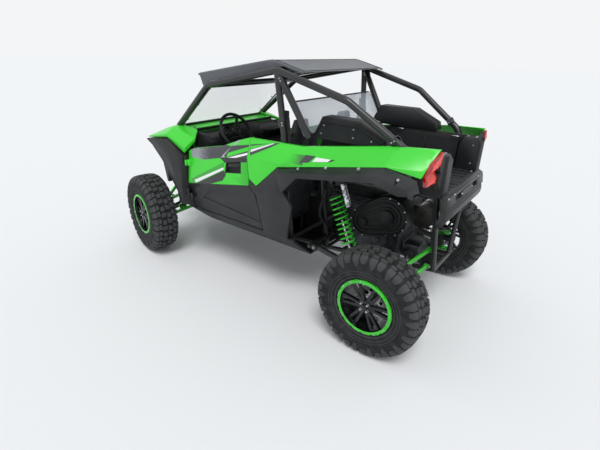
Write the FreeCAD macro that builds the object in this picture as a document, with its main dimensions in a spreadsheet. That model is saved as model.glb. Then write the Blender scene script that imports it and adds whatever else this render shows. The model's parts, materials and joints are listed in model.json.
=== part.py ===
import FreeCAD, Part
import Sketcher
import math
import os
import re
from types import SimpleNamespace

# Side by side UTV, millimetres. +X forward, +Y left, +Z up, origin on the
# ground midway between the axles. Left-hand pieces are modelled, and
# right-hand ones are their mirror images.

os.makedirs("parts", exist_ok=True)
doc = FreeCAD.newDocument("side_by_side")

SIZES = [
    # whole vehicle
    ("wheelbase", 2515),
    ("overall_width", 1730),
    ("nose_reach", 382.5),
    ("tail_reach", 339.5),
    ("ground_clearance", 365),
    # wheels
    ("tyre_radius", 393.5),
    ("tyre_width", 254),
    ("tread_width", 196),
    ("crown", 8),
    ("lug_height", 14),
    ("lug_pitches", 18),
    ("bead_radius", 190.5),
    ("rim_width", 196),
    ("rim_flange", 202),
    ("rim_wall", 8),
    ("ring_radius", 206),
    ("ring_thickness", 14),
    ("ring_notches", 16),
    ("notch_radius", 12),
    ("disc_depth", 62),
    ("hub_radius", 48),
    ("hub_face", 92),
    ("spoke_count", 6),
    ("spoke_root", 34),
    ("spoke_tip", 78),
    ("spoke_slot", 34),
    ("spoke_depth", 27),
    # steering
    ("steer_rest", -12.7),
    ("kingpin_offset", 150),
    ("ball_height", 84),
    ("cv_radius", 44),
    ("shaft_radius", 14),
    ("tie_rod_radius", 9),
    ("steering_arm", 120),
    ("steering_wheel_x", 400),
    ("steering_wheel_y", 350),
    ("steering_wheel_z", 1290),
    ("steering_wheel_radius", 165),
    ("steering_wheel_grip", 14),
    ("column_angle", 32),
    ("column_radius", 16),
    # body side, outer face
    ("sill_z", 588),
    ("sill_y", 680),
    ("waist_y", 745),
    ("shoulder_y", 705),
    ("belt_y", 650),
    ("panel_wall", 30),
    ("door_wall", 46),
    ("seam", 6),
    ("inset_depth", 8),
    # doors
    ("door_front_x", 645),
    ("door_back_low_x", -205),
    ("door_back_mid_x", -104),
    ("door_back_top_x", -62),
    ("door_front_top_z", 1165),
    ("door_dip_x", 240),
    ("door_dip_z", 1235),
    ("door_back_top_z", 1345),
    ("split_front_z", 845),
    ("split_back_z", 985),
    # quarter panel and rear arch
    ("quarter_top_ahead", 27.5),
    ("quarter_top_z", 1440),
    ("tail_tip_reach", 235.5),
    ("tail_tip_z", 1452),
    ("arch_front_x", -464),
    ("arch_front_z", 1005),
    ("arch_peak_x", -608),
    ("arch_peak_z", 1157),
    ("arch_back_ahead", 65.5),
    ("arch_back_z", 1245),
    ("arch_tail_reach", 112.5),
    ("arch_tail_z", 1201),
    ("flare_depth", 95),
    ("flare_y", 785),
    ("flare_low_z", 590.3),
    # cage
    ("seat_base_z", 600),
    ("cage_radius", 25),
    ("hinge_radius", 9),
    ("hinge_x", 648),
    ("hinge_y", 744),
    ("bend_radius", 130),
    ("hoop_x", -309),
    ("hoop_y", 630),
    ("hoop_z", 1847),
    ("header_x", 457),
    ("header_y", 600),
    ("header_z", 1694),
    ("cowl_x", 951),
    ("cowl_y", 569),
    ("cowl_z", 1281),
    # roof
    ("ridge_x", -233),
    ("ridge_z", 1918),
    ("roof_back_x", -514),
    ("roof_back_z", 1845),
    ("roof_front_x", 575),
    ("roof_front_z", 1782),
    ("roof_y", 590),
    ("roof_wall", 22),
    # frame
    ("frame_radius", 19),
    ("cross_radius", 16),
    ("floor_wall", 12),
    ("floor_y", 400),
    # cargo bed
    ("bed_front_x", -735),
    ("bed_back_reach", 268.5),
    ("bed_floor_z", 1146),
    ("bed_y", 400),
    ("bed_wall", 24),
    ("bed_top_z", 1400),
    ("bed_groove", 4),
    ("post_width", 75),
    # driveline
    ("engine_front_x", -610),
    ("engine_back_ahead", 67.5),
    ("engine_width", 420),
    ("engine_height", 460),
    ("transaxle_width", 220),
    ("gearcase_width", 210),
    ("engine_z", 470),
    ("seat_gap", 0.3),
    ("cover_ahead", 112),
    ("cover_z", 879),
    ("cover_radius", 150),
    ("drum_radius", 118),
    ("drum_ahead", 185),
    ("drum_drop", 85),
    ("cover_y", 395),
    ("muffler_radius", 85),
    ("muffler_length", 420),
    ("muffler_z", 880),
    # suspension
    ("spring_radius", 56),
    ("spring_wire", 6.5),
    ("coil_count", 10),
    ("reservoir_radius", 23),
    ("damper_radius", 24),
    ("damper_rod", 9),
    ("shock_eye", 16),
    ("eye_length", 34),
    ("ear_wall", 8),
    ("arm_radius", 16),
]

# Places worked out from the sizes. The nose and the front bay keep their
# distance from the front axle, and the tail keeps its own from the rear axle.
PLACES = {
    "front_axle": "(wheelbase / 2)",
    "rear_axle": "(-wheelbase / 2)",
    "half_track": "((overall_width - tyre_width) / 2)",
    "nose_x": "(wheelbase / 2 + nose_reach)",
    "tail_x": "(-wheelbase / 2 - tail_reach)",
    "quarter_top_x": "(-wheelbase / 2 + quarter_top_ahead)",
    "tail_tip_x": "(-wheelbase / 2 - tail_tip_reach)",
    "arch_back_x": "(-wheelbase / 2 + arch_back_ahead)",
    "arch_tail_x": "(-wheelbase / 2 - arch_tail_reach)",
    "bed_back_x": "(-wheelbase / 2 - bed_back_reach)",
    "engine_back_x": "(-wheelbase / 2 + engine_back_ahead)",
    "cover_x": "(-wheelbase / 2 + cover_ahead)",
}

sheet = doc.addObject("Spreadsheet::Sheet", "Sizes")
for row, (alias, number) in enumerate(SIZES, 1):
    sheet.set("A%d" % row, alias)
    sheet.set("B%d" % row, str(number))
    sheet.setAlias("B%d" % row, alias)
doc.recompute()
size = SimpleNamespace(**{alias: float(sheet.get(alias)) for alias, number in SIZES})
alias_words = re.compile(r"\b(" + "|".join(alias for alias, number in SIZES) + r")\b")
place_words = re.compile(r"\b(" + "|".join(PLACES) + r")\b")
finished = []


def bind(thing, prop, formula):
    """Ties one property to a formula in the sheet's aliases and the places."""
    formula = place_words.sub(lambda word: PLACES[word.group()], str(formula))
    thing.setExpression(prop, alias_words.sub(r"Sizes.\1", formula))


PLANES = {
    "side": FreeCAD.Rotation(FreeCAD.Vector(1, 0, 0), 90),
    "cross": FreeCAD.Rotation(FreeCAD.Vector(1, 1, 1), 120),
    "plan": FreeCAD.Rotation(),
}
OFFSET_AXIS = {"side": "y", "cross": "x", "plan": "z"}
NORMAL = {"side": (0, 1, 0), "cross": (1, 0, 0), "plan": (0, 0, 1)}


def draw(sketch, corners):
    """Closes a polygon in a sketch, each corner held by two formulas."""
    count = len(corners)
    ring = []
    for i in range(count):
        turn = 2 * math.pi * i / count
        ring.append(FreeCAD.Vector(1000 * math.cos(turn), 1000 * math.sin(turn), 0))
    for i in range(count):
        sketch.addGeometry(Part.LineSegment(ring[i], ring[(i + 1) % count]))
    for i in range(count):
        sketch.addConstraint(Sketcher.Constraint("Coincident", i, 2, (i + 1) % count, 1))
    for i, (across, up) in enumerate(corners):
        for kind, guess, formula in (("DistanceX", ring[i].x, across), ("DistanceY", ring[i].y, up)):
            held = sketch.addConstraint(Sketcher.Constraint(kind, -1, 1, i, 1, guess))
            bind(sketch, "Constraints[%d]" % held, formula)


def outline(label, plane, corners, offset="0"):
    """A closed polygon on the side (X, Z), cross (Y, Z) or plan (X, Y) plane."""
    sketch = doc.addObject("Sketcher::SketchObject", label)
    draw(sketch, corners)
    sketch.Placement = FreeCAD.Placement(FreeCAD.Vector(), PLANES[plane])
    bind(sketch, "Placement.Base." + OFFSET_AXIS[plane], offset)
    return sketch


def slab(label, plane, corners, low, high):
    """An outline pulled straight from low to high across its plane."""
    solid = doc.addObject("Part::Extrusion", label)
    solid.Base = outline(label + "_outline", plane, corners, low)
    solid.DirMode = "Custom"
    solid.Dir = FreeCAD.Vector(*NORMAL[plane])
    solid.Solid = True
    bind(solid, "LengthFwd", "(%s) - (%s)" % (high, low))
    return solid


def block(label, low, high):
    """A box between two corners."""
    solid = doc.addObject("Part::Box", label)
    for prop, axis, start, end in zip(("Length", "Width", "Height"), "xyz", low, high):
        bind(solid, prop, "(%s) - (%s)" % (end, start))
        bind(solid, "Placement.Base." + axis, start)
    return solid


def skin(label, plane, stations):
    """A ruled loft through outlines; each station is (offset, corners)."""
    solid = doc.addObject("Part::Loft", label)
    solid.Sections = [outline("%s_%d" % (label, i), plane, corners, offset)
                      for i, (offset, corners) in enumerate(stations)]
    solid.Solid = True
    solid.Ruled = True
    return solid


def joined(label, pieces):
    solid = doc.addObject("Part::MultiFuse", label)
    solid.Shapes = pieces
    return solid


def shared(label, pieces):
    solid = doc.addObject("Part::MultiCommon", label)
    solid.Shapes = pieces
    return solid


def cut(label, base, tool):
    solid = doc.addObject("Part::Cut", label)
    solid.Base = base
    solid.Tool = tool
    return solid


def mirrored(label, source):
    solid = doc.addObject("Part::Mirroring", label)
    solid.Source = source
    solid.Normal = (0, 1, 0)
    solid.Base = (0, 0, 0)
    return solid


def gathered(label, pieces):
    """Solids that lie apart, kept together as one sub-part."""
    group = doc.addObject("Part::Compound", label)
    group.Links = pieces
    return group


def formed(label, shape):
    solid = doc.addObject("Part::Feature", label)
    solid.Shape = shape
    return solid


def finish(label, solid):
    """Marks a solid as a finished sub-part; its label names its file."""
    solid.Label = label
    if solid.Label != label:
        raise RuntimeError("two pieces are called " + label)
    finished.append(solid)
    return solid


def both_sides(name, left):
    """Keeps a left-hand piece and its mirror image as two sub-parts."""
    finish(name + "_left", left)
    finish(name + "_right", mirrored(name + "_mirror", left))


def pair(label, left):
    """One sub-part that holds a left-hand solid and its mirror image."""
    return finish(label, gathered(label + "_pair", [left, mirrored(label + "_mirror", left)]))


WELD_TOLERANCE = 0.01


def vector(point):
    return FreeCAD.Vector(*point)


def along(start, end, share):
    """The point a share of the way from start to end."""
    return tuple(a + (b - a) * share for a, b in zip(start, end))


def flip(point):
    return (point[0], -point[1], point[2])


def rod(start, end, radius):
    """A round bar between two points."""
    start = vector(start)
    run = vector(end) - start
    return Part.makeCylinder(radius, run.Length, start, run)


def bent_tube(points, radius, bend):
    """A tube along straight runs joined by tangent arcs of the bend radius."""
    corners = [vector(point) for point in points]
    edges = []
    last = corners[0]
    for before, corner, after in zip(corners, corners[1:], corners[2:]):
        inward = (before - corner).normalize()
        outward = (after - corner).normalize()
        half_turn = (math.pi - inward.getAngle(outward)) / 2
        reach = bend * math.tan(half_turn)
        reach = min(reach, 0.45 * (before - corner).Length, 0.45 * (after - corner).Length)
        entry = corner + inward * reach
        leave = corner + outward * reach
        middle_way = (inward + outward).normalize()
        radius_here = reach / math.tan(half_turn)
        centre = corner + middle_way * (radius_here / math.cos(half_turn))
        middle = centre - middle_way * radius_here
        edges.append(Part.LineSegment(last, entry).toShape())
        edges.append(Part.Arc(entry, middle, leave).toShape())
        last = leave
    edges.append(Part.LineSegment(last, corners[-1]).toShape())
    path = Part.Wire(edges)
    start = corners[0]
    run = corners[1] - corners[0]
    ring = Part.Wire([Part.makeCircle(radius, start, run)])
    return path.makePipeShell([ring], True, False)


def welded(shapes):
    """Fuses crossing pieces into one valid solid, with merged faces if it can."""
    whole = shapes[0].multiFuse(shapes[1:], WELD_TOLERANCE)
    if not whole.isValid() or len(whole.Solids) != 1:
        whole = shapes[0]
        for shape in shapes[1:]:
            whole = whole.fuse(shape)
    if not whole.isValid() or len(whole.Solids) != 1:
        raise RuntimeError("a weld failed near " + str(whole.BoundBox))
    merged = whole.copy().removeSplitter()
    return merged if merged.isValid() else whole


# Roll cage: side hoops from the cowl over the roof to the tail, the main
# hoop's posts with their diagonals, and the cross tubes that join them.
axle_x = size.wheelbase / 2
axle_z = size.tyre_radius
half_track = (size.overall_width - size.tyre_width) / 2
kingpin_y = half_track - size.kingpin_offset
hub_x = -axle_x
nose_x = axle_x + size.nose_reach
cowl = (size.cowl_x, size.cowl_y, size.cowl_z)
header = (size.header_x, size.header_y, size.header_z)
hoop = (size.hoop_x, size.hoop_y, size.hoop_z)
brace_knee = (-879, 603, 1690)
brace_foot = (hub_x - 39.5, 517, 1405)
bed_rail_z = size.bed_floor_z - size.bed_wall - size.frame_radius - size.seat_gap
cage_tail = (hub_x - 82.5, 480, bed_rail_z)
post_waist = (-352, 600, 1412)
post_foot = (-400, 560, 568)
diagonal_foot = (-575, 585, 1405)
front_foot = (axle_x - 247.5, 430, 760)


def left_to_right(shapes):
    return shapes + [shape.mirror(FreeCAD.Vector(), FreeCAD.Vector(0, 1, 0)) for shape in shapes]


def cage_tubes(radius):
    side_hoop = [front_foot, cowl, header, hoop, brace_knee, brace_foot, cage_tail]
    post = [hoop, post_waist, post_foot]
    left = [
        bent_tube(side_hoop, radius, size.bend_radius),
        bent_tube(post, radius, size.bend_radius),
        rod(hoop, diagonal_foot, radius),
    ]
    harness_bar = along(post_waist, post_foot, 0.35)
    cross = [rod(point, flip(point), radius) for point in (header, hoop, harness_bar, cowl)]
    return left_to_right(left) + cross


cage = finish("roll_cage", formed("roll_cage", welded(cage_tubes(size.cage_radius))))
room_tubes = cage_tubes(size.cage_radius + size.seat_gap)
cage_room = formed("cage_room", welded(room_tubes))

# Chassis: lower rails on the skid plate, sill rails, cross tubes, the front
# bay that carries the wishbones and the rear cradle below the bed.
tube = size.frame_radius
cross_tube = size.cross_radius
rail_z = size.ground_clearance + size.floor_wall + tube + size.seat_gap
sill_rail = ((-430, 580, 568), (720, 580, 568))
bay_low = ((axle_x - 217.5, 190, rail_z), (axle_x + 202.5, 190, rail_z))
bay_mid = ((axle_x - 207.5, 222, 600), (axle_x + 197.5, 222, 600))
bay_nose = (nose_x - 84 - size.seat_gap, 222, 600)
tower = (axle_x - 57.5, 205, 1046)
shock_bar = (axle_x - 57.5, 380, 1046)
arm_bar = (-575, 540, 520)
damper_bar = (-742, 530, bed_rail_z)
cradle_front = (-560, 240, rail_z)
cradle_back = (hub_x - 222.5, 170, 470)
bed_rail = ((-600, 440, bed_rail_z), (hub_x - 212.5, 350, bed_rail_z))


def cradle_below(z):
    """The point of the lower rear rail whose cross tube just carries z."""
    centre = z - size.seat_gap - cross_tube
    share = (centre - cradle_front[2]) / (cradle_back[2] - cradle_front[2])
    return along(cradle_front, cradle_back, share)


frame_runs = [
    (cradle_front, bay_low[0]),
    bay_low,
    sill_rail,
    (sill_rail[1], bay_low[0]),
    (sill_rail[0], cradle_front),
    (front_foot, bay_mid[0]),
    (front_foot, tower),
    (tower, bay_mid[1]),
    bay_mid,
    (bay_mid[0], bay_low[0]),
    (bay_mid[1], bay_low[1]),
    (bay_mid[1], bay_nose),
    (cradle_front, cradle_back),
    (cradle_front, bed_rail[0]),
    bed_rail,
    (bed_rail[1], cradle_back),
    (post_foot, sill_rail[0]),
]
seat_bar_z = size.seat_base_z - size.seat_gap - tube
floor_top = size.ground_clearance + size.floor_wall + size.seat_gap
for x in (-180, 160):
    frame_runs.append(((x, 580, seat_bar_z), (x, 120, seat_bar_z)))
    frame_runs.append(((x, 120, seat_bar_z + tube), (x, 120, floor_top)))
frame_cross = [cradle_front, bay_low[0], bay_low[1], bay_mid[1], shock_bar, cradle_below(size.engine_z),
               cradle_back, bed_rail[1], sill_rail[0], sill_rail[1], front_foot, damper_bar, cage_tail,
               arm_bar]


def coped(bar):
    """A frame tube notched where it meets the cage, without the cut-off end."""
    for room in room_tubes:
        if bar.BoundBox.intersect(room.BoundBox):
            bar = max(bar.cut(room).Solids, key=lambda solid: solid.Volume)
    return bar


frame_tubes = left_to_right([rod(start, end, tube) for start, end in frame_runs])
frame_tubes += [rod(point, flip(point), cross_tube) for point in frame_cross]
finish("frame_tubes", formed("frame_tubes", welded([coped(bar) for bar in frame_tubes])))

# Body side: two walls that follow the same outer face, one as thick as a
# fixed panel and one as thick as a door. Each panel is cut from them by its
# own outline. Columns: x, then y and z of sill, waist, shoulder and belt.
BODY_STATIONS = [
    ("700", "sill_y - 10", "sill_z", "waist_y - 12", "850", "shoulder_y", "1140", "belt_y", "1260"),
    ("door_back_mid_x", "sill_y", "sill_z", "waist_y", "960", "shoulder_y", "1200", "belt_y - 5", "1370"),
    ("-560", "sill_y + 10", "sill_z", "waist_y + 10", "935", "shoulder_y + 15", "1190",
     "belt_y - 12", "1362"),
    ("quarter_top_x", "sill_y + 15", "900", "waist_y + 12", "1150", "shoulder_y - 12", "1335",
     "belt_y - 108", "quarter_top_z + 10"),
    ("tail_tip_x - 5", "sill_y - 50", "1000", "waist_y - 100", "1190", "shoulder_y - 110", "1330",
     "belt_y - 142", "tail_tip_z + 8"),
]


def body_wall(label, wall, raised="0"):
    """A wall from its depth below the outer face to its height above it."""
    stations = []
    for x, y1, z1, y2, z2, y3, z3, y4, z4 in BODY_STATIONS:
        face = [(y1, z1), (y2, z2), (y3, z3), (y4, z4)]
        outer = [("(%s) + %s" % (y, raised), z) for y, z in face]
        inner = [("(%s) - %s" % (y, wall), z) for y, z in reversed(face)]
        stations.append((x, outer + inner))
    return skin(label, "cross", stations)


panel_side = body_wall("panel_side", "panel_wall")
door_side = body_wall("door_side", "door_wall")
inset_layer = body_wall("inset_layer", "inset_depth", "30")
handle_layer = body_wall("handle_layer", "22", "30")


def side_panel(label, wall, corners):
    """A panel cut from one of the body walls by its outline seen from the side."""
    return shared(label, [wall, slab(label + "_cutter", "side", corners, "300", "900")])


# Door: a dark lower shell and a green upper skin, joined edge to edge, each
# hung on a hinge at the front seam. A leaf and barrel of each hinge is on
# the door, and the barrel above it is on the front flare.
HINGES = ("700", "1010")


def hinge_part(label, low, high, leaf_start, leaf_end):
    """One barrel with its leaf; the leaf runs along X between two formulas."""
    barrel = doc.addObject("Part::Cylinder", label + "_barrel")
    bind(barrel, "Radius", "hinge_radius")
    bind(barrel, "Height", "(%s) - (%s)" % (high, low))
    bind(barrel, "Placement.Base.x", "hinge_x")
    bind(barrel, "Placement.Base.y", "hinge_y")
    bind(barrel, "Placement.Base.z", low)
    leaf = block(label + "_leaf", (leaf_start, "hinge_y - 32", low), (leaf_end, "hinge_y - 5", high))
    return [barrel, leaf]


door_shell = side_panel("door_shell", door_side, [
    ("door_back_low_x", "sill_z + 25"),
    ("door_front_x", "sill_z + 15"),
    ("door_front_x", "split_front_z"),
    ("door_back_mid_x", "split_back_z"),
    ("door_back_mid_x - 75", "split_back_z - 58"),
])
shell_inset = side_panel("shell_inset", inset_layer, [
    ("door_front_x - 150", "735"), ("door_front_x - 275", "832"), ("door_back_mid_x - 20", "930"),
    ("door_back_low_x + 2", "672"),
])
door_shell = cut("door_shell_inset", door_shell, shell_inset)
door_hinges = []
flare_hinges = []
for i, low in enumerate(HINGES):
    door_hinges.append(hinge_part("door_hinge_%d" % i, low, low + " + 50", "door_front_x - 40", "hinge_x"))
    low_flare = low + " + 50 + seat_gap"
    flare_hinges += hinge_part("flare_hinge_%d" % i, low_flare, low + " + 90", "hinge_x", "720")
both_sides("door_shell", joined("door_shell_hung", [door_shell] + door_hinges[0]))
door_skin = side_panel("door_skin", door_side, [
    ("door_back_mid_x", "split_back_z"),
    ("door_front_x", "split_front_z"),
    ("door_front_x - 5", "door_front_top_z - 30"),
    ("door_front_x - 60", "door_front_top_z"),
    ("door_dip_x", "door_dip_z"),
    ("door_dip_x - 190", "door_dip_z + 75"),
    ("door_back_top_x", "door_back_top_z"),
    ("door_back_top_x", "1200"),
])
handle_pocket = side_panel("handle_pocket", handle_layer, [
    ("158", "1040"), ("152", "1120"), ("2", "1150"), ("-6", "1068"),
])
door_skin = cut("door_skin_pocket", door_skin, handle_pocket)
both_sides("door_skin", joined("door_skin_hung", [door_skin] + door_hinges[1]))

# Quarter panel: green, from the door's rear seam back to the tail lamp.
quarter = side_panel("quarter", panel_side, [
    ("door_back_top_x - seam", "door_back_top_z - 4"),
    ("door_back_top_x - seam", "1198"),
    ("door_back_mid_x - seam", "1040"),
    ("-190", "1000"),
    ("-384", "1182"),
    ("rear_axle + 24.5", "1335"),
    ("tail_tip_x + 53", "1290"),
    ("tail_tip_x", "tail_tip_z"),
    ("quarter_top_x", "quarter_top_z"),
    ("-560", "1350"),
])
both_sides("quarter_panel", cut("quarter_cut", quarter, cage_room))

# Side panel: dark corner behind the door, down to the sill.
side_corner = side_panel("side_corner", panel_side, [
    ("door_back_mid_x - seam", "1036"),
    ("door_back_mid_x - seam", "split_back_z"),
    ("door_back_mid_x - 75 - seam", "split_back_z - 58"),
    ("door_back_low_x - seam", "sill_z + 2"),
    ("arch_front_x + 10", "sill_z + 2"),
    ("-545", "905"),
    ("arch_front_x - 4", "arch_front_z - 2"),
    ("-384", "1178"),
    ("-190", "996"),
])
both_sides("side_panel", side_corner)

# Rear wheel flare: a thick arch with slanted faces, carried by the side and
# quarter panels. Each of its bolts sits in a triangular pocket in the upper
# band; the table gives x and z of the bolts.
flare_inner = [
    ("-384", "1181"),
    ("arch_front_x - 4", "arch_front_z"),
    ("arch_peak_x", "arch_peak_z"),
    ("arch_back_x", "arch_back_z"),
    ("arch_tail_x", "arch_tail_z"),
    ("tail_tip_x + 27", "1220"),
    ("tail_tip_x + 53", "1290"),
    ("rear_axle + 24.5", "1334"),
]
flare_outer = [
    ("-420", "1160"),
    ("arch_front_x - 12", "arch_front_z + 12"),
    ("arch_peak_x", "arch_peak_z"),
    ("arch_back_x", "arch_back_z"),
    ("arch_tail_x", "arch_tail_z"),
    ("tail_tip_x + 53", "1215"),
    ("tail_tip_x + 78", "1255"),
    ("rear_axle + 32.5", "1296"),
]
flare_solid = skin("flare_solid", "side", [("flare_y - flare_depth", flare_inner), ("flare_y", flare_outer)])
FLARE_BOLTS = [("-600", "1212"), ("-830", "1262"), ("-1075", "1302"), ("rear_axle - 88", "1283")]
pockets = []
for i, (x, z) in enumerate(FLARE_BOLTS):
    pockets.append(slab("flare_pocket_%d" % i, "side", [
        (x + " - 24", z + " + 24"), (x + " + 24", z + " + 16"), (x + " + 2", z + " - 22"),
    ], "flare_y - 42", "flare_y + 20"))
flare = cut("flare", flare_solid, joined("flare_pockets", pockets))
both_sides("rear_flare", flare)

# Hood: a shell open below, from the cowl down to the nose.
HOOD_STATIONS = [
    ("756", "545", "1130", "535", "1290"),
    ("950", "542", "1150", "530", "1290"),
    ("front_axle - 127.5", "540", "1150", "470", "1245"),
    ("front_axle + 32.5", "430", "960", "380", "1170"),
    ("nose_x - 160", "370", "860", "320", "1060"),
    ("nose_x - 60", "330", "850", "290", "980"),
]
hood_outer = skin("hood_outer", "cross", [
    (x, [("-(%s)" % y1, z1), (y1, z1), (y2, z2), ("-(%s)" % y2, z2)])
    for x, y1, z1, y2, z2 in HOOD_STATIONS])
hood_inner = skin("hood_inner", "cross", [
    (x + shift, [("-(%s) + 25" % y1, z1 + " - 60"), (y1 + " - 25", z1 + " - 60"),
                 (y2 + " - 25", z2 + " - 25"), ("-(%s) + 25" % y2, z2 + " - 25")])
    for (x, y1, z1, y2, z2), shift in zip(HOOD_STATIONS, (" - 5", "", "", "", " - 25"))])
hood = cut("hood_shell", hood_outer, hood_inner)
finish("hood", cut("hood_notched", hood, cage_room))

# Front fender: green upper skin over a dark flare that ends in a forward tip.
fender_top = skin("fender_top", "side", [
    ("546", [("700", "1262"), ("700", "1290"), ("915", "1322"), ("front_axle - 127.5", "1258"),
             ("front_axle - 127.5", "1230"), ("905", "1290")]),
    ("650", [("614", "1215"), ("614", "1240"), ("905", "1308"), ("front_axle - 107.5", "1226"),
             ("front_axle - 107.5", "1201"), ("895", "1278")]),
    ("745", [("654", "1120"), ("640", "1170"), ("885", "1256"), ("front_axle - 97.5", "1200"),
             ("front_axle - 94.5", "1190"), ("880", "1226")]),
])
fender = cut("fender_notched", cut("fender_trimmed", fender_top, hood_outer), cage_room)
both_sides("front_fender", fender)
flare_edge = [
    ("front_axle - 101.5", "1177"),
    ("front_axle - 174.5", "1136"),
    ("door_front_x + 0.498 * (front_axle - door_front_x)", "1010"),
    ("door_front_x + 0.196 * (front_axle - door_front_x)", "751"),
]
flare_foot = "door_front_x + 0.163 * (front_axle - door_front_x)"
front_flare = skin("front_flare", "side", [
    ("650", [("door_front_x + seam", "flare_low_z"), ("door_front_x + seam", "1105"), ("880", "1235"),
             ("front_axle - 109.5", "1186")] + flare_edge + [(flare_foot, "flare_low_z")]),
    ("775", [("700", "640"), ("690", "1095"), ("880", "1205"),
             ("front_axle - 109.5", "1184")] + flare_edge + [(flare_foot, "640")]),
])
both_sides("front_flare", joined("front_flare_hung", [front_flare] + flare_hinges))

# Nose: grille panel, bumper beam and skid plate at the front.
nose_panel = slab("nose_panel", "side", [
    ("nose_x - 84", "560"),
    ("nose_x - 50", "560"),
    ("nose_x", "790"),
    ("nose_x - 30", "850 - seat_gap"),
    ("nose_x - 84", "850 - seat_gap"),
], "-300", "300")
slots = []
for i in range(4):
    low = "%d" % (600 + 56 * i)
    slots.append(block("grille_slot_%d" % i, ("nose_x - 100", "-230 + %d" % (14 * i), low),
                       ("nose_x + 20", "230 - %d" % (14 * i), low + " + 34")))
finish("front_bumper", cut("grille", nose_panel, joined("grille_slots", slots)))

# Headlamps: one each side of the nose, set into the hood's front corner.
lamp_side = slab("lamp_side", "side", [
    ("nose_x - 60 + seat_gap", "870"),
    ("nose_x - 25", "870"),
    ("nose_x - 40", "965"),
    ("nose_x - 60 + seat_gap", "965"),
], "130", "285")
lamp_front = slab("lamp_front", "cross", [
    ("130", "900"), ("130", "940"), ("165", "965"), ("285", "965"),
    ("285", "905"), ("215", "870"), ("160", "870"),
], "nose_x - 80", "nose_x")
pair("headlamps", shared("lamp", [lamp_side, lamp_front]))

# Floor: a tub with sloping sides, a firewall and a bulkhead behind the seats.
tub_section = [
    ("-660", "sill_z + 2"), ("-640", "560"),
    ("-floor_y", "ground_clearance"), ("floor_y", "ground_clearance"),
    ("640", "560"), ("660", "sill_z + 2"), ("632", "sill_z + 2"), ("622", "578"),
    ("floor_y - 8", "ground_clearance + floor_wall"), ("-floor_y + 8", "ground_clearance + floor_wall"),
    ("-622", "578"), ("-632", "sill_z + 2"),
]
tub = slab("tub", "cross", tub_section, "-500", "760")
front_skid = slab("front_skid", "plan", [
    ("760", "-floor_y"), ("front_axle - 197.5", "-215"), ("front_axle + 224.5", "-170"),
    ("front_axle + 224.5", "170"), ("front_axle - 197.5", "215"), ("760", "floor_y"),
], "ground_clearance", "ground_clearance + floor_wall")
finish("floor_pan", joined("floor_all", [tub, front_skid]))

# Windscreen: one clear sheet between the front pillars, on the cowl.
screen = slab("screen", "side", [
    ("938", "1290 + seat_gap"), ("946", "1290 + seat_gap"), ("488", "1697"), ("480", "1697"),
], "-530", "530")
finish("windscreen", cut("screen_notched", screen, cage_room))

# Rear screen: a half-height clear sheet behind the seats.
rear_screen = slab("rear_screen_sheet", "side", [
    ("-542", "1412"), ("-536", "1412"), ("-399", "1640"), ("-405", "1640"),
], "-600", "600")
finish("rear_screen", cut("rear_screen_notched", rear_screen, cage_room))

# Roof: a folded sheet over the cage with side skirts down to the tubes.
roof_line = [
    ("roof_back_x", "roof_back_z"),
    ("ridge_x", "ridge_z"),
    ("roof_front_x", "roof_front_z"),
]
roof_under = [(x, z + " - roof_wall") for x, z in reversed(roof_line)]
roof_sheet = slab("roof_sheet", "side", roof_line + roof_under, "-roof_y", "roof_y")
skirt_line = [("roof_front_x - 20", "roof_front_z"), ("ridge_x", "ridge_z"), ("ridge_x - 40", "ridge_z - 45"),
              ("header_x", "header_z + 26"), ("header_x + 60", "header_z - 20")]
skirt = slab("skirt", "side", skirt_line, "roof_y - 14", "roof_y")
roof = joined("roof_all", [roof_sheet, skirt, mirrored("skirt_mirror", skirt)])
finish("roof", cut("roof_notched", roof, cage_room))

# Dashboard: a beam across the cab with a bin, a tray each side, a hood over
# the middle and a round gauge above the steering column.
dash = slab("dash", "side", [
    ("560", "1090"), ("756 - seat_gap", "1060"), ("756 - seat_gap", "1230"), ("700", "1262"), ("600", "1250"),
    ("545", "1190"),
], "-535", "535")
column_bore = doc.addObject("Part::Cylinder", "column_bore")
bind(column_bore, "Radius", "column_radius + seat_gap")
column_bore.Height = 230
column_bore.Placement = FreeCAD.Placement(
    FreeCAD.Vector(size.steering_wheel_x, size.steering_wheel_y, size.steering_wheel_z),
    FreeCAD.Rotation(FreeCAD.Vector(0, 1, 0), 90 + size.column_angle))
bin_cut = block("bin_cut", ("540", "-480", "1110"), ("660", "-180", "1180"))
tray_cut = slab("tray_cut", "side", [
    ("568", "1222"), ("612", "1240"), ("690", "1250"), ("706", "1300"), ("568", "1300"),
], "-500", "-150")
tray_left = mirrored("tray_left", tray_cut)
binnacle = slab("binnacle", "side", [
    ("540", "1200"), ("556", "1268"), ("600", "1296"), ("700", "1272"), ("700", "1255"), ("600", "1230"),
], "-135", "135")
gauge_start = (size.steering_wheel_x + 112, size.steering_wheel_y, size.steering_wheel_z - 8)
gauge_end = (gauge_start[0] + 72, gauge_start[1], gauge_start[2] - 45)
gauge = formed("gauge", rod(gauge_start, gauge_end, 46))
dash_all = joined("dash_all", [cut("dash_cut", dash, joined("dash_hollows", [bin_cut, tray_cut, tray_left])),
                               binnacle, gauge])
finish("dashboard", cut("dash_bored", dash_all, column_bore))

# Console between the seats.
finish("console", slab("console", "side", [
    ("-405", "ground_clearance + floor_wall + seat_gap"), ("560", "ground_clearance + floor_wall + seat_gap"),
    ("560", "640"), ("200", "720"), ("-300", "760"), ("-405", "900"),
], "-85", "85"))

# Seats: a bucket with raised bolsters and a narrower headrest. Columns: y of
# the section, rise of the cushion, reach of the back and top of the back.
SEAT_SECTIONS = [
    ("105", 42, 58, 1330),
    ("160", 0, 0, 1372),
    ("232", 0, 0, 1385),
    ("250", 0, 6, 1490),
    ("400", 0, 6, 1490),
    ("418", 0, 0, 1385),
    ("490", 0, 0, 1372),
    ("545", 42, 58, 1330),
]


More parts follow.
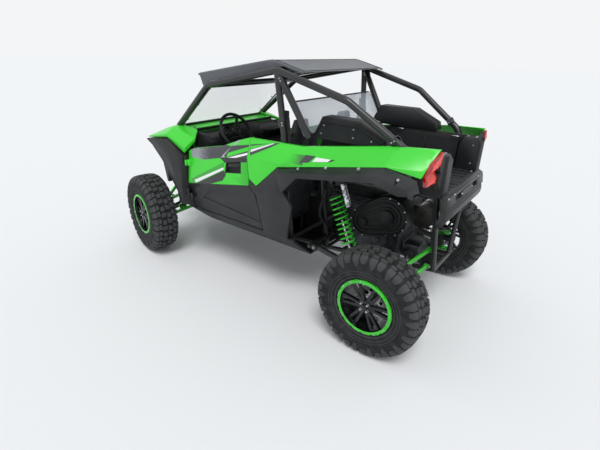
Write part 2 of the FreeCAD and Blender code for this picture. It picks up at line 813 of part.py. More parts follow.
def seat_section(rise, reach, top):
    """The seat seen from the side: base, cushion, fold and back."""
    return [
        ("250", "seat_base_z"), ("275", "780"), ("200", "%g" % (822 + rise)), ("-100", "%g" % (778 + rise)),
        ("%g" % (-160 + reach), "%g" % (850 + rise / 2)), ("%g" % (-262 + reach * 0.8), "%g" % (top - 50)),
        ("%g" % (-278 + reach * 0.5), "%g" % top), ("-325", "%g" % (top - 4)), ("-338", "%g" % (top - 90)),
        ("-290", "800"), ("-270", "seat_base_z"),
    ]


seat = skin("seat", "side", [(y, seat_section(rise, reach, top)) for y, rise, reach, top in SEAT_SECTIONS])
both_sides("seat", seat)

# Cargo bed: a tub open at the rear, with flanges that reach the quarter panels.
bed_outer = block("bed_outer", ("bed_back_x", "-bed_y - bed_wall", "bed_floor_z - bed_wall"),
                  ("bed_front_x", "bed_y + bed_wall", "bed_top_z"))
bed_inner = block("bed_inner", ("bed_back_x - 20", "-bed_y", "bed_floor_z"),
                  ("bed_front_x - bed_wall", "bed_y", "bed_top_z + 20"))
bed_grooves = []
for i in range(8):
    y = 40 + 80 * (i // 2)
    low, high = (y, y + 14) if i % 2 else (-y - 14, -y)
    bed_grooves.append(block("bed_groove_%d" % i, ("bed_back_x - 5", str(low), "bed_floor_z - bed_groove"),
                             ("bed_front_x - bed_wall - 40", str(high), "bed_floor_z + 5")))
bed_tub = cut("bed_tub", bed_outer, joined("bed_hollows", [bed_inner] + bed_grooves))
bed_post = slab("bed_post", "side", [
    ("bed_back_x", "bed_floor_z - 1"), ("bed_back_x", "bed_top_z - 36"), ("bed_back_x + 24", "bed_top_z"),
    ("bed_back_x + 130", "bed_top_z"), ("bed_back_x + 158", "bed_top_z - 60"),
    ("bed_back_x + 168", "bed_floor_z - 1"),
], "bed_y - post_width", "bed_y + 1")
finish("cargo_bed", joined("bed", [bed_tub, bed_post, mirrored("bed_post_mirror", bed_post)]))

# Rear bumper: an upper fascia with two pockets, a stepped lip and an undercut
# beak below it.
fascia = slab("fascia", "side", [
    ("bed_back_x - seat_gap", "1146"), ("bed_back_x - 34", "1128"), ("bed_back_x - 46", "1052"),
    ("tail_x", "1040"), ("tail_x + 4", "1004"), ("tail_x + 46", "930"), ("bed_back_x + 20", "900"),
    ("bed_back_x - seat_gap", "1000"),
], "-430", "430")
fascia_pockets = []
for side in ("-1", "1"):
    fascia_pockets.append(block("fascia_pocket_" + side, ("bed_back_x - 60", "%s * 190 - 62" % side, "1068"),
                                ("bed_back_x - 22", "%s * 190 + 62" % side, "1110")))
fascia_ends = []
for side in (1, -1):
    corner = [("tail_x - 5", 290), ("tail_x - 5", 440), ("bed_back_x + 30", 440), ("bed_back_x + 30", 425),
              ("bed_back_x - 40", 410)]
    fascia_ends.append(slab("fascia_end_%d" % side, "plan", [(x, str(side * y)) for x, y in corner],
                            "880", "1051"))
finish("rear_bumper", cut("bumper", fascia, joined("fascia_cuts", fascia_pockets + fascia_ends)))

# Tail lamps in the end of the quarter panels.
tail_lamp = skin("tail_lamp", "side", [
    ("490", [("tail_tip_x + 3.5", "1440"), ("tail_tip_x + 52.5", "1290"), ("tail_tip_x + 41", "1240"),
             ("tail_tip_x + 6", "1240"), ("tail_tip_x + 2", "1275"), ("tail_tip_x + 22", "1318"),
             ("tail_tip_x - 12", "1360"), ("tail_tip_x - 19", "1440")]),
    ("600", [("tail_tip_x + 23", "1380"), ("tail_tip_x + 52.5", "1290"), ("tail_tip_x + 43", "1232"),
             ("tail_tip_x + 20", "1232"), ("tail_tip_x + 16", "1262"), ("tail_tip_x + 32", "1296"),
             ("tail_tip_x + 4", "1330"), ("tail_tip_x - 3", "1370")]),
])
pair("tail_lamps", tail_lamp)

# Intake boxes: a slanted box each side on the shoulders behind the cab.
def intake_outline(inset, foot=0):
    """The box from the side, each slanted edge moved in and the base kept or raised."""
    return [
        ("-552 - %g" % inset, "bed_top_z + seat_gap + %g" % foot),
        ("-630 - %g" % (inset * 0.7), "1555 - %g" % inset),
        ("rear_axle + 320.5 + %g" % (inset * 0.3), "1553 - %g" % inset),
        ("rear_axle + 122.5 + %g" % (inset * 0.8), "1460 - %g" % (inset * 0.6)),
        ("rear_axle + 107.5 + %g" % inset, "bed_top_z + seat_gap + %g" % foot),
    ]


intake_box = skin("intake_box", "side", [
    ("bed_y - 10", intake_outline(0)),
    ("bed_y + 112", intake_outline(0)),
    ("bed_y + 140", intake_outline(20)),
])
intake_panel = slab("intake_panel", "side", intake_outline(38, 18), "bed_y + 134", "bed_y + 160")
intake = cut("intake", intake_box, intake_panel)
pair("intake_boxes", cut("intake_fitted", cut("intake_trimmed", intake, panel_side), cage_room))

# Air box: between the intake boxes, ahead of the bed.
finish("air_box", slab("air_box", "cross", [
    ("-300", "1180"), ("300", "1180"), ("300", "1400"), ("190", "1455"), ("-190", "1455"), ("-300", "1400"),
], "bed_front_x + seat_gap", "-600"))

# Engine and transaxle as one plain mass on the cradle's cross tubes.
block_low = ("engine_back_x", "-engine_width / 2", "engine_z")
block_high = ("engine_front_x", "engine_width / 2", "engine_z + engine_height")
engine_block = block("engine_block", block_low, block_high)
transaxle = block("transaxle", ("rear_axle - 70", "-transaxle_width / 2", "engine_z"),
                  ("engine_back_x", "transaxle_width / 2", "engine_z + 120"))
finish("engine", joined("engine_all", [engine_block, transaxle]))

# Front gearcase on the skid plate between the front half shafts.
finish("front_gearcase", block("front_gearcase",
                               ("front_axle - 70", "-gearcase_width / 2",
                                "ground_clearance + floor_wall + seat_gap"),
                               ("front_axle + 70", "gearcase_width / 2", "500")))

# Drive cover: the belt housing on the left of the engine. Two round ends, the
# smaller one ahead, are joined by tangent sides, with a boss over the big
# pulley and raised ribs that follow the outline.
cover_centre = (hub_x + size.cover_ahead, size.engine_width / 2 + size.seat_gap, size.cover_z)
drum_centre = (cover_centre[0] + size.drum_ahead, cover_centre[1], cover_centre[2] - size.drum_drop)


def belt_loop(shrink, depth):
    """The housing's outline drawn in by an amount and pulled out by a depth."""
    big = size.cover_radius - shrink
    small = size.drum_radius - shrink
    start, end = vector(cover_centre), vector(drum_centre)
    run = end - start
    lean = math.acos((big - small) / run.Length)
    corners = []
    for side in (1, -1):
        turn_to = FreeCAD.Rotation(FreeCAD.Vector(0, 1, 0), side * math.degrees(lean))
        out = turn_to.multVec(FreeCAD.Vector(run).normalize())
        corners.append((start + out * big, end + out * small))
    (a, b), (d, c) = corners
    middle = Part.Face(Part.makePolygon([a, b, c, d, a])).extrude(FreeCAD.Vector(0, depth, 0))
    drums = [Part.makeCylinder(radius, depth, centre, FreeCAD.Vector(0, 1, 0))
             for radius, centre in ((big, start), (small, end))]
    return middle.multiFuse(drums).removeSplitter()


cover_depth = size.cover_y - cover_centre[1] - 24
cover = belt_loop(0, cover_depth)
lift = FreeCAD.Vector(0, cover_depth, 0)
for outer, inner in ((14, 26), (44, 56), (74, 86)):
    rib = belt_loop(outer, 12).cut(belt_loop(inner, 12))
    cover = cover.fuse(rib.translate(lift))
for radius, depth in ((52, 24), (30, 24)):
    centre = vector(cover_centre if radius > 40 else drum_centre) + lift
    cover = cover.fuse(Part.makeCylinder(radius, depth, centre, FreeCAD.Vector(0, 1, 0)))
finish("drive_cover", formed("drive_cover", cover.removeSplitter()))

# Exhaust: a muffler across the tail below the bed, on a pipe from the engine.
muffler = doc.addObject("Part::Cylinder", "muffler")
bind(muffler, "Radius", "muffler_radius")
bind(muffler, "Height", "muffler_length")
muffler.Placement = FreeCAD.Placement(FreeCAD.Vector(), FreeCAD.Rotation(FreeCAD.Vector(1, 0, 0), -90))
bind(muffler, "Placement.Base.x", "rear_axle - 87.5")
bind(muffler, "Placement.Base.y", "-muffler_length / 2")
bind(muffler, "Placement.Base.z", "muffler_z")
pipe_start = (hub_x + size.engine_back_ahead - size.seat_gap, 60, size.muffler_z)
pipe = formed("pipe", rod(pipe_start, (hub_x - 87.5, 60, size.muffler_z), 24))
finish("exhaust", joined("exhaust_all", [muffler, pipe]))

# Suspension, left side, as points on the axle line.
ball_low = (axle_x, kingpin_y, axle_z - size.ball_height)
ball_high = (axle_x, kingpin_y, axle_z + size.ball_height)


socket_height = size.arm_radius + 4


def shock_clevis(point, drop, offset=0):
    """Two ears that take a shock's lower eye, on an arm that far below and behind it."""
    ears = []
    for inner in (size.eye_length / 2 + size.seat_gap, -size.eye_length / 2 - size.seat_gap - size.ear_wall):
        corner = vector(point) + FreeCAD.Vector(-size.shock_eye - offset, inner, -drop)
        ears.append(Part.makeBox(2 * size.shock_eye + offset, size.ear_wall, drop + size.shock_eye, corner))
    return ears


def wishbone(tip, base_y, base_z, spread, extras=()):
    """An A-shaped arm: two legs from bushings on the frame to a ball joint."""
    ends = [(axle_x + side * spread, base_y, base_z) for side in (-1, 1)]
    legs = [rod(end, tip, size.arm_radius) for end in ends] + list(extras)
    bushings = [rod((x - 28, y, z), (x + 28, y, z), size.arm_radius + 3) for x, y, z in ends]
    middles = [along(end, tip, 0.68) for end in ends]
    brace = rod(middles[0], middles[1], size.arm_radius * 0.7)
    socket = rod((tip[0], tip[1], tip[2] - socket_height), (tip[0], tip[1], tip[2] + socket_height), 24)
    return welded(legs + bushings + [brace, socket])


bushing_y = size.arm_radius + 3 + tube + size.seat_gap
low_base = (bay_low[0][1] + bushing_y, 400, 140)
front_foot_seat = along((axle_x - low_base[2], low_base[0], low_base[1]), ball_low, 0.5)
front_shock_foot = tuple(vector(front_foot_seat) + FreeCAD.Vector(26, 0, 42))
low_arm = wishbone(ball_low, *low_base, shock_clevis(front_shock_foot, 42, 26))
high_arm = wishbone(ball_high, bay_mid[0][1] + bushing_y, 600, 150)
pair("front_wishbones", formed("wishbones", Part.makeCompound([low_arm, high_arm])))

carrier = Part.makeBox(110, 70, 210, FreeCAD.Vector(hub_x - 55, kingpin_y - 35, axle_z - 105))
hub_seat = size.disc_depth - 14 - size.seat_gap
spindle = rod((hub_x, kingpin_y, axle_z), (hub_x, half_track + hub_seat, axle_z), 30)
eye_radius = 26
arm_start = (arm_bar[0] - cross_tube - size.seat_gap - eye_radius, kingpin_y - 88, arm_bar[2])
arm_bend = (hub_x + 277.5, kingpin_y - 68, 470)
arm = bent_tube([arm_start, arm_bend, (hub_x, kingpin_y, axle_z)], 24, 300)
arm_eye = rod((arm_start[0], arm_start[1] - 35, arm_start[2]),
              (arm_start[0], arm_start[1] + 35, arm_start[2]), eye_radius)
rear_shock_foot = (arm_bend[0], arm_bend[1], arm_bend[2] + 46)
arm_pieces = [arm, arm_eye, spindle] + shock_clevis(rear_shock_foot, 46)
pair("trailing_arms", formed("trailing_arm", carrier.multiFuse(arm_pieces).removeSplitter()))
radius_rods = []
for z_in, z_out in ((500, axle_z - 80), (640, axle_z + 80)):
    inner = (hub_x - 178.5, 200, z_in)
    outer = (hub_x, kingpin_y - 35 - size.seat_gap - 18, z_out)
    radius_rods.append(welded([rod(inner, outer, size.arm_radius)] + [
        rod((x - 18, y, z), (x + 18, y, z), size.arm_radius + 2) for x, y, z in (inner, outer)]))
pair("radius_rods", formed("radius_rod", Part.makeCompound(radius_rods)))

# Shocks: an eye below its cross tube, a damper body with a collar, a rod with
# a perch and a lower eye in the arm's clevis. A round-wire coil spring stands
# between collar and perch, and a reservoir hangs beside the body. Columns:
# upper eye, lower eye, shares of the collar and the perch, coils, and how far
# behind the body its reservoir is. The front spring ends above the upper arm.
eye_drop = cross_tube + size.seat_gap + size.shock_eye
SHOCKS = [
    ((damper_bar[0], kingpin_y - 88, damper_bar[2] - eye_drop), rear_shock_foot, 0.14, 0.80, 0, 84),
    ((shock_bar[0], 320, shock_bar[2] - eye_drop), front_shock_foot, 0.12, 0.61, -2, -84),
]


def cross_eye(point):
    """A shock's eye, its axis across the vehicle."""
    x, y, z = point
    return rod((x, y - size.eye_length / 2, z), (x, y + size.eye_length / 2, z), size.shock_eye)


def coil(start, end, radius, wire, turns):
    """A round wire wound about the line from start to end."""
    run = vector(end) - vector(start)
    path = Part.makeHelix(run.Length / turns, run.Length, radius)
    lead = FreeCAD.Vector(0, 2 * math.pi * radius, run.Length / turns)
    ring = Part.Wire([Part.makeCircle(wire, FreeCAD.Vector(radius, 0, 0), lead)])
    wound = path.makePipeShell([ring], True, True)
    wound.Placement = FreeCAD.Placement(vector(start), FreeCAD.Rotation(FreeCAD.Vector(0, 0, 1), run))
    return wound


shocks = []
springs = []
for top, foot, collar_share, perch_share, more_coils, behind in SHOCKS:
    run = (vector(foot) - vector(top))
    way = FreeCAD.Vector(run).normalize()
    body = rod(along(top, foot, 0.03), along(top, foot, 0.45), size.damper_radius)
    sleeve = rod(along(top, foot, perch_share), along(top, foot, 0.93), size.damper_radius - 6)
    collar_low = vector(along(top, foot, collar_share))
    perch_top = vector(along(top, foot, perch_share))
    collar = rod(tuple(collar_low - way * 12), tuple(collar_low), size.spring_radius)
    perch = rod(tuple(perch_top), tuple(perch_top + way * 10), size.spring_radius)
    tank_top = vector(top) + FreeCAD.Vector(-behind, 0, 22)
    tank = rod(tuple(tank_top), tuple(tank_top + way * 170), size.reservoir_radius)
    neck = rod(along(top, foot, 0.07), tuple(tank_top + way * 40), 13)
    eyes = [cross_eye(top), cross_eye(foot)]
    shocks.append(welded([body, rod(top, foot, size.damper_rod), sleeve, collar, perch, neck, tank] + eyes))
    room = size.spring_wire + size.seat_gap
    springs.append(coil(tuple(collar_low + way * room), tuple(perch_top - way * room),
                        size.spring_radius - size.spring_wire, size.spring_wire,
                        size.coil_count + more_coils))
pair("shocks", formed("shock", Part.makeCompound(shocks)))
pair("springs", formed("spring", Part.makeCompound(springs)))


def half_shaft(x, case_y, case_z, hub_gap):
    """A shaft with a joint boot at the gearcase."""
    inner = (x, case_y + size.seat_gap, case_z)
    boot = rod(inner, (x, case_y + 40, case_z), 34)
    shaft = rod((x, case_y + 20, case_z), (x, kingpin_y - hub_gap, axle_z), size.shaft_radius)
    return boot.fuse(shaft).removeSplitter()


front_shaft = half_shaft(axle_x, size.gearcase_width / 2, 452, 20)
rear_shaft = half_shaft(hub_x, size.transaxle_width / 2, 515, 42)
pair("half_shafts", formed("half_shaft", Part.makeCompound([front_shaft, rear_shaft])))

# Knuckles: an upright on the kingpin line with a spindle and a steering arm.
arm_tip = (axle_x - size.steering_arm, kingpin_y - 20, axle_z)


def knuckle_shape():
    half_height = size.ball_height - size.arm_radius - 22
    upright = Part.makeBox(60, 44, 2 * half_height,
                           FreeCAD.Vector(axle_x - 30, kingpin_y - 6, axle_z - half_height))
    stud_reach = size.ball_height - socket_height - size.seat_gap
    stud = rod((axle_x, kingpin_y, axle_z - stud_reach), (axle_x, kingpin_y, axle_z + stud_reach), 13)
    spindle = rod((axle_x, kingpin_y + 20, axle_z), (axle_x, half_track + hub_seat, axle_z), 30)
    steer_arm = Part.makeBox(size.steering_arm, 24, 30,
                             FreeCAD.Vector(axle_x - size.steering_arm - 12, kingpin_y - 4, axle_z - 15))
    pocket = Part.makeCylinder(size.cv_radius - 8, 60, FreeCAD.Vector(axle_x, kingpin_y, axle_z - 30))
    return upright.multiFuse([stud, spindle, steer_arm]).cut(pocket).removeSplitter()


turn = FreeCAD.Rotation(FreeCAD.Vector(0, 0, 1), size.steer_rest)


def steered(shape, side):
    """A left-hand shape turned about its kingpin, or its right-hand twin."""
    if side < 0:
        shape = shape.mirror(FreeCAD.Vector(), FreeCAD.Vector(0, 1, 0))
    pivot = FreeCAD.Vector(axle_x, side * kingpin_y, 0)
    return shape.rotate(pivot, FreeCAD.Vector(0, 0, 1), size.steer_rest)


for word, side in (("left", 1), ("right", -1)):
    finish("knuckle_" + word, formed("knuckle_" + word, steered(knuckle_shape(), side)))

# Steering rack with its two tie rods.
rack_x = axle_x - 107.5
rack_z = 455
rack = [rod((rack_x, -150, rack_z), (rack_x, 150, rack_z), 20)]
for side in (1, -1):
    reach = turn.multVec(FreeCAD.Vector(-size.steering_arm, 0, 15 + size.tie_rod_radius + 0.5))
    tip = FreeCAD.Vector(axle_x, side * kingpin_y, axle_z) + reach
    rack.append(rod((rack_x, side * 150, rack_z), tuple(tip), size.tie_rod_radius))
finish("steering_rack", formed("steering_rack", welded(rack)))

# Steering wheel with three spokes on its column.
wheel_rim = Part.makeTorus(size.steering_wheel_radius, size.steering_wheel_grip)
wheel_hub = Part.makeCylinder(38, 34, FreeCAD.Vector(0, 0, -20))
spokes = []
for angle in (90, 210, 330):
    reach = size.steering_wheel_radius
    spokes.append(Part.makeBox(reach, 26, 10, FreeCAD.Vector(0, -13, -5))
                  .rotate(FreeCAD.Vector(), FreeCAD.Vector(0, 0, 1), angle))
column = Part.makeCylinder(size.column_radius, 190, FreeCAD.Vector(0, 0, -205))
wheel = formed("steering_wheel", welded([wheel_rim, wheel_hub, column] + spokes))
wheel.Placement = FreeCAD.Placement(
    FreeCAD.Vector(size.steering_wheel_x, size.steering_wheel_y, size.steering_wheel_z),
    FreeCAD.Rotation(FreeCAD.Vector(0, 1, 0), -90 + size.column_angle))
finish("steering_wheel", wheel)

# Tyre: a ring of flat facets, four to a pitch, with a block and a shoulder
# lug on each side that span two facets each. Modelled about the Y axis with
# its outer face to +Y. Sections are (radius, y) points.
low_tread = size.tyre_radius - size.lug_height
crown_edge = size.tyre_radius - size.crown
carcass_half = [
    (size.bead_radius + 1, size.rim_width / 2 - 12),
    (size.ring_radius + 8, size.rim_width / 2 - 6),
    (size.tyre_radius - 100, size.tyre_width / 2 - 6),
    (low_tread - 30, size.tyre_width / 2 - 12),
    (low_tread - size.crown, size.tread_width / 2 - 6),
    (low_tread, size.tread_width / 4),
]
centre_block = [
    (low_tread - 6, 5), (size.tyre_radius, 5), (size.tyre_radius, size.tread_width / 4 - 4),
    (low_tread - 8, size.tread_width / 4 - 4),
]
shoulder_lug = [
    (low_tread - 10, size.tread_width / 4 + 8), (size.tyre_radius - 2, size.tread_width / 4 + 8),
    (crown_edge, size.tread_width / 2), (size.tyre_radius - 36, size.tyre_width / 2 - 6),
    (size.tyre_radius - 72, size.tyre_width / 2), (size.tyre_radius - 76, size.tyre_width / 2 - 10),
    (low_tread - 36, size.tyre_width / 2 - 19), (low_tread - 20, size.tread_width / 2 - 8),
]
# Lugs: section, first facet of the pitch and facets spanned, on the left side
# of the tread; the right side is half a pitch round.
LUGS = [(centre_block, 0, 2), (shoulder_lug, 1, 2)]


def turned_ring(section, angles, closed):
    """A flat-sided solid through one section turned to each angle about Y."""
    rings = [[FreeCAD.Vector(r * math.sin(a), y, r * math.cos(a)) for r, y in section] for a in angles]
    faces = []
    for i in range(len(rings) if closed else len(rings) - 1):
        here, there = rings[i], rings[(i + 1) % len(rings)]
        for j in range(len(section)):
            k = (j + 1) % len(section)
            faces.append(Part.Face(Part.makePolygon([here[j], here[k], there[k], there[j], here[j]])))
    if not closed:
        faces += [Part.Face(Part.makePolygon(ring + ring[:1])) for ring in (rings[0], rings[-1])]
    return Part.makeSolid(Part.makeShell(faces))


def tyre_shape():
    facets = int(size.lug_pitches) * 4
    step = 2 * math.pi / facets
    section = carcass_half + [(r, -y) for r, y in reversed(carcass_half)]
    carcass = turned_ring(section, [step * i for i in range(facets)], True)
    lugs = []
    for section, first, span in LUGS:
        for i in range(int(size.lug_pitches)):
            for side in (1, -1):
                start = step * (4 * i + first + (0 if side > 0 else 2))
                points = [(r, side * y) for r, y in section]
                lugs.append(turned_ring(points, [start, start + step * span], False))
    return carcass.multiFuse(lugs).removeSplitter()


rim_profile = [
    ("bead_radius - rim_wall", "-rim_width / 2"),
    ("rim_flange", "-rim_width / 2"),
    ("rim_flange", "-rim_width / 2 + 5"),
    ("bead_radius", "-rim_width / 2 + 12"),
    ("bead_radius", "rim_width / 2"),
    ("ring_radius", "rim_width / 2"),
    ("ring_radius", "rim_width / 2 + ring_thickness"),
    ("bead_radius - rim_wall", "rim_width / 2 + ring_thickness"),
]


def turned(label, profile):
    """A PartDesign body revolved about the Y axis; profile is (radius, y)."""
    body = doc.addObject("PartDesign::Body", label)
    sketch = body.newObject("Sketcher::SketchObject", label + "_profile")
    plane = [item for item in body.Origin.OriginFeatures if item.Role == "XY_Plane"][0]
    sketch.AttachmentSupport = (plane, [""])
    sketch.MapMode = "FlatFace"
    draw(sketch, profile)
    ring = body.newObject("PartDesign::Revolution", label + "_ring")
    ring.Profile = sketch
    ring.ReferenceAxis = (sketch, ["V_Axis"])
    ring.Angle = 360
    body.Tip = ring
    return body


tyre = formed("tyre_pattern", tyre_shape())
rim_barrel = turned("rim_barrel", rim_profile)
rim_hub = turned("rim_hub", [
    ("0", "disc_depth - 14"), ("hub_radius", "disc_depth - 14"), ("hub_radius", "hub_face"),
    ("0", "hub_face"),
])
doc.recompute()


def spoke_plate(root_x, root, tip_x, tip):
    """A tapered bar along X in the wheel's plane, root and tip given as widths."""
    corners = [(root_x, -root / 2), (tip_x, -tip / 2), (tip_x, tip / 2), (root_x, root / 2)]
    points = [FreeCAD.Vector(x, size.disc_depth, z) for x, z in corners]
    return Part.Face(Part.makePolygon(points + points[:1])).extrude(FreeCAD.Vector(0, size.spoke_depth, 0))


spokes = []
for i in range(int(size.spoke_count)):
    arm = spoke_plate(15, size.spoke_root, size.bead_radius - 5, size.spoke_tip)
    slot = spoke_plate(size.hub_radius + 26, size.spoke_slot / 4, size.bead_radius - 22, size.spoke_slot)
    spokes.append(arm.cut(slot).rotate(FreeCAD.Vector(), FreeCAD.Vector(0, 1, 0), 360 / size.spoke_count * i))
rim_spokes = formed("rim_spokes", welded(spokes))
rim_solid = joined("rim_solid", [rim_barrel, rim_hub, rim_spokes])
notches = []
for i in range(int(size.ring_notches)):
    turn_to = 2 * math.pi * i / size.ring_notches
    reach = size.ring_radius + size.notch_radius / 2
    start = FreeCAD.Vector(reach * math.cos(turn_to), size.rim_width / 2 + 1, reach * math.sin(turn_to))
    end = start + FreeCAD.Vector(0, size.ring_thickness + 5, 0)
    notches.append(rod(tuple(start), tuple(end), size.notch_radius))
rim = cut("rim_pattern", rim_solid, formed("ring_scallops", Part.makeCompound(notches)))

steer_reach = FreeCAD.Vector(0, size.kingpin_offset, 0)
for word, front, side in (("front_left", 1, 1), ("front_right", 1, -1), ("rear_left", -1, 1),
                          ("rear_right", -1, -1)):
    for name, source in (("tyre", tyre), ("rim", rim)):
        copy = gathered("%s_%s" % (name, word), [source])
        x = "front_axle" if front > 0 else "rear_axle"
        y = "half_track * %d" % side
        angle = "0" if side > 0 else "180"
        if front > 0:
            x += " - kingpin_offset * sin(steer_rest) * %d" % side
            y += " + kingpin_offset * (cos(steer_rest) - 1) * %d" % side
            angle += " + steer_rest"
        copy.Placement = FreeCAD.Placement(FreeCAD.Vector(), FreeCAD.Rotation(FreeCAD.Vector(0, 0, 1), 5))
        bind(copy, "Placement.Base.x", x)
        bind(copy, "Placement.Base.y", y)
        bind(copy, "Placement.Base.z", "tyre_radius")
        bind(copy, "Placement.Rotation.Angle", angle)
        finish("%s_%s" % (name, word), copy)

doc.recompute()
for thing in doc.Objects:
    if "Invalid" in thing.State or "Error" in thing.State:
        raise RuntimeError(thing.Label + " did not build: " + str(thing.State))
for part in finished:
    if part.Shape.isNull() or not part.Shape.isValid():
        raise RuntimeError(part.Label + " has no valid shape")
for part in finished:
    part.Shape.exportStep(os.path.join("parts", part.Label + ".step"))
print("sub-parts", len(finished))
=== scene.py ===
import json
import math

import bmesh
import bpy
from mathutils import Matrix, Vector
from mathutils.bvhtree import BVHTree

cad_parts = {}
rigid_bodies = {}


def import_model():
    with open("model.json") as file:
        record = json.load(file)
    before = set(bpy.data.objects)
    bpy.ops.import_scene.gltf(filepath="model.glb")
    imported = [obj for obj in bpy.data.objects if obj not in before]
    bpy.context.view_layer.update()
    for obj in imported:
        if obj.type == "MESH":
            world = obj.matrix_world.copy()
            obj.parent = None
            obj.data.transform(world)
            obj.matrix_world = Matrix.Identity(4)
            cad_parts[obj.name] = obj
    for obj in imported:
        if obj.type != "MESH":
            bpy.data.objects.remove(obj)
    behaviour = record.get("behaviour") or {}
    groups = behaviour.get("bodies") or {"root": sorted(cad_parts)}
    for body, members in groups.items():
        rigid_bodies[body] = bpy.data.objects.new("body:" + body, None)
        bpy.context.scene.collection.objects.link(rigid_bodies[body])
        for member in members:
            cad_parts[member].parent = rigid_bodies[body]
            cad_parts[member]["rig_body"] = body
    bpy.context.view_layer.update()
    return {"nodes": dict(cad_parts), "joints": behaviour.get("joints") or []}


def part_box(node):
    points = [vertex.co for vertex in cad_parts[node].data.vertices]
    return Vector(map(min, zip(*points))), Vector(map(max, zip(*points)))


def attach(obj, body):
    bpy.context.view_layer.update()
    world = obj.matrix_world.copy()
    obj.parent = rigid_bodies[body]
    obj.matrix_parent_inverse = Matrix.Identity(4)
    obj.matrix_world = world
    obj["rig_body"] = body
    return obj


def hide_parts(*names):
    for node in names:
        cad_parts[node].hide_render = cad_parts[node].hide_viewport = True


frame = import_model()


# Chassis: welded round steel tube with a satin black powder coat. The skid
# plates and the floor tub hang below it, and every other piece bolts to it.

def linear(code):
    """An sRGB hex colour as linear colour with alpha 1."""
    channels = [int(code[i:i + 2], 16) / 255 for i in (1, 3, 5)]
    return [c / 12.92 if c <= 0.04045 else ((c + 0.055) / 1.055) ** 2.4 for c in channels] + [1]


def add(tree, kind, sockets=None, **settings):
    """Adds a node with its settings; a socket takes a value or another node's output."""
    node = tree.nodes.new(kind)
    for name, value in settings.items():
        setattr(node, name, value)
    for name, value in (sockets or {}).items():
        if isinstance(value, bpy.types.NodeSocket):
            tree.links.new(value, node.inputs[name])
        else:
            node.inputs[name].default_value = value
    return node


def surface(name, sockets):
    """A new material with its Principled shader's constants set."""
    material = bpy.data.materials.new(name)
    material.use_nodes = True
    tree = material.node_tree
    shader = tree.nodes["Principled BSDF"]
    for socket, value in sockets.items():
        shader.inputs[socket].default_value = value
    return material, tree, shader


def grain(tree, shader, size, depth, strength=1.0, kind="NOISE", detail=3.0):
    """Bumps a shader with grains that many metres wide and high."""
    place = add(tree, "ShaderNodeTexCoord").outputs["Object"]
    if kind == "NOISE":
        texture = add(tree, "ShaderNodeTexNoise", {"Vector": place, "Scale": 1 / size, "Detail": detail})
        height = texture.outputs["Fac"]
    else:
        texture = add(tree, "ShaderNodeTexVoronoi", {"Vector": place, "Scale": 1 / size})
        height = texture.outputs["Distance"]
    bump = add(tree, "ShaderNodeBump", {"Height": height, "Distance": depth, "Strength": strength})
    tree.links.new(bump.outputs["Normal"], shader.inputs["Normal"])


def weathered(tree, shader, clean, dusty, size):
    """Varies a shader's colour from clean to dusty in soft patches that many metres wide."""
    place = add(tree, "ShaderNodeTexCoord").outputs["Object"]
    patches = add(tree, "ShaderNodeTexNoise", {"Vector": place, "Scale": 1 / size, "Detail": 5.0})
    spread = add(tree, "ShaderNodeMapRange", {
        "Value": patches.outputs["Fac"], "From Min": 0.35, "From Max": 0.7})
    mixed = add(tree, "ShaderNodeMix", data_type="RGBA")
    tree.links.new(spread.outputs["Result"], mixed.inputs["Factor"])
    mixed.inputs["A"].default_value = linear(clean)
    mixed.inputs["B"].default_value = linear(dusty)
    tree.links.new(mixed.outputs["Result"], shader.inputs["Base Color"])


def made_of(name, sockets, clean, dusty, patch, *grains):
    """A material that goes from clean to dusty in patches, with a bump if grains gives its values."""
    material, tree, shader = surface(name, sockets)
    if grains:
        grain(tree, shader, *grains)
    weathered(tree, shader, clean, dusty, patch)
    return material


def powder_coat(name, colour, worn, roughness):
    """Baked powder coat on steel: a faint orange peel and a little dust."""
    return made_of(name, {"Roughness": roughness, "Coat Weight": 0.25, "Coat Roughness": 0.25},
                   colour, worn, 0.12, 0.0035, 0.0004, 0.35)


def coat(material, *nodes):
    """Gives CAD pieces that are shown as they are a material."""
    for name in nodes:
        data = frame["nodes"][name].data
        data.materials.clear()
        data.materials.append(material)


frame_coat = powder_coat("black_powder_coat", "#0f1012", "#1f2022", 0.42)
coat(frame_coat, "frame_tubes", "trailing_arms", "knuckle_left", "knuckle_right", "steering_rack")


# Floor tub and skid plates: thick black polyethylene, moulded with a fine
# leather-like grain and screwed up under the frame.

def worn_edges(material, tone, strength=0.6):
    """Lightens a material's colour where the surface turns sharply, as rubbing does."""
    tree = material.node_tree
    shader = tree.nodes["Principled BSDF"]
    corner = add(tree, "ShaderNodeNewGeometry").outputs["Pointiness"]
    rubbed = add(tree, "ShaderNodeMapRange", {
        "Value": corner, "From Min": 0.52, "From Max": 0.6, "To Max": strength})
    below = shader.inputs["Base Color"].links[0].from_socket
    mixed = add(tree, "ShaderNodeMix", data_type="RGBA")
    tree.links.new(rubbed.outputs["Result"], mixed.inputs["Factor"])
    tree.links.new(below, mixed.inputs["A"])
    mixed.inputs["B"].default_value = linear(tone)
    tree.links.new(mixed.outputs["Result"], shader.inputs["Base Color"])


def moulded(name, colour, dusty, roughness=0.55, cell=0.0016, depth=0.00035, specular=0.4, rubbed=None):
    """Grained moulded plastic: pebbled texture, soft sheen, dust in the pores."""
    material = made_of(name, {"Roughness": roughness, "Specular IOR Level": specular},
                       colour, dusty, 0.18, cell, depth, 0.5, "VORONOI")
    if rubbed:
        worn_edges(material, rubbed)
    return material


def linked(name, mesh):
    """An object for a mesh, in the scene."""
    piece = bpy.data.objects.new(name, mesh)
    bpy.context.scene.collection.objects.link(piece)
    return piece


def kept(piece, body, slot_name, *nodes):
    """Makes a finished piece ride on its body, in place of CAD pieces where nodes names them."""
    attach(piece, body)
    if nodes:
        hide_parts(*nodes)
    return piece


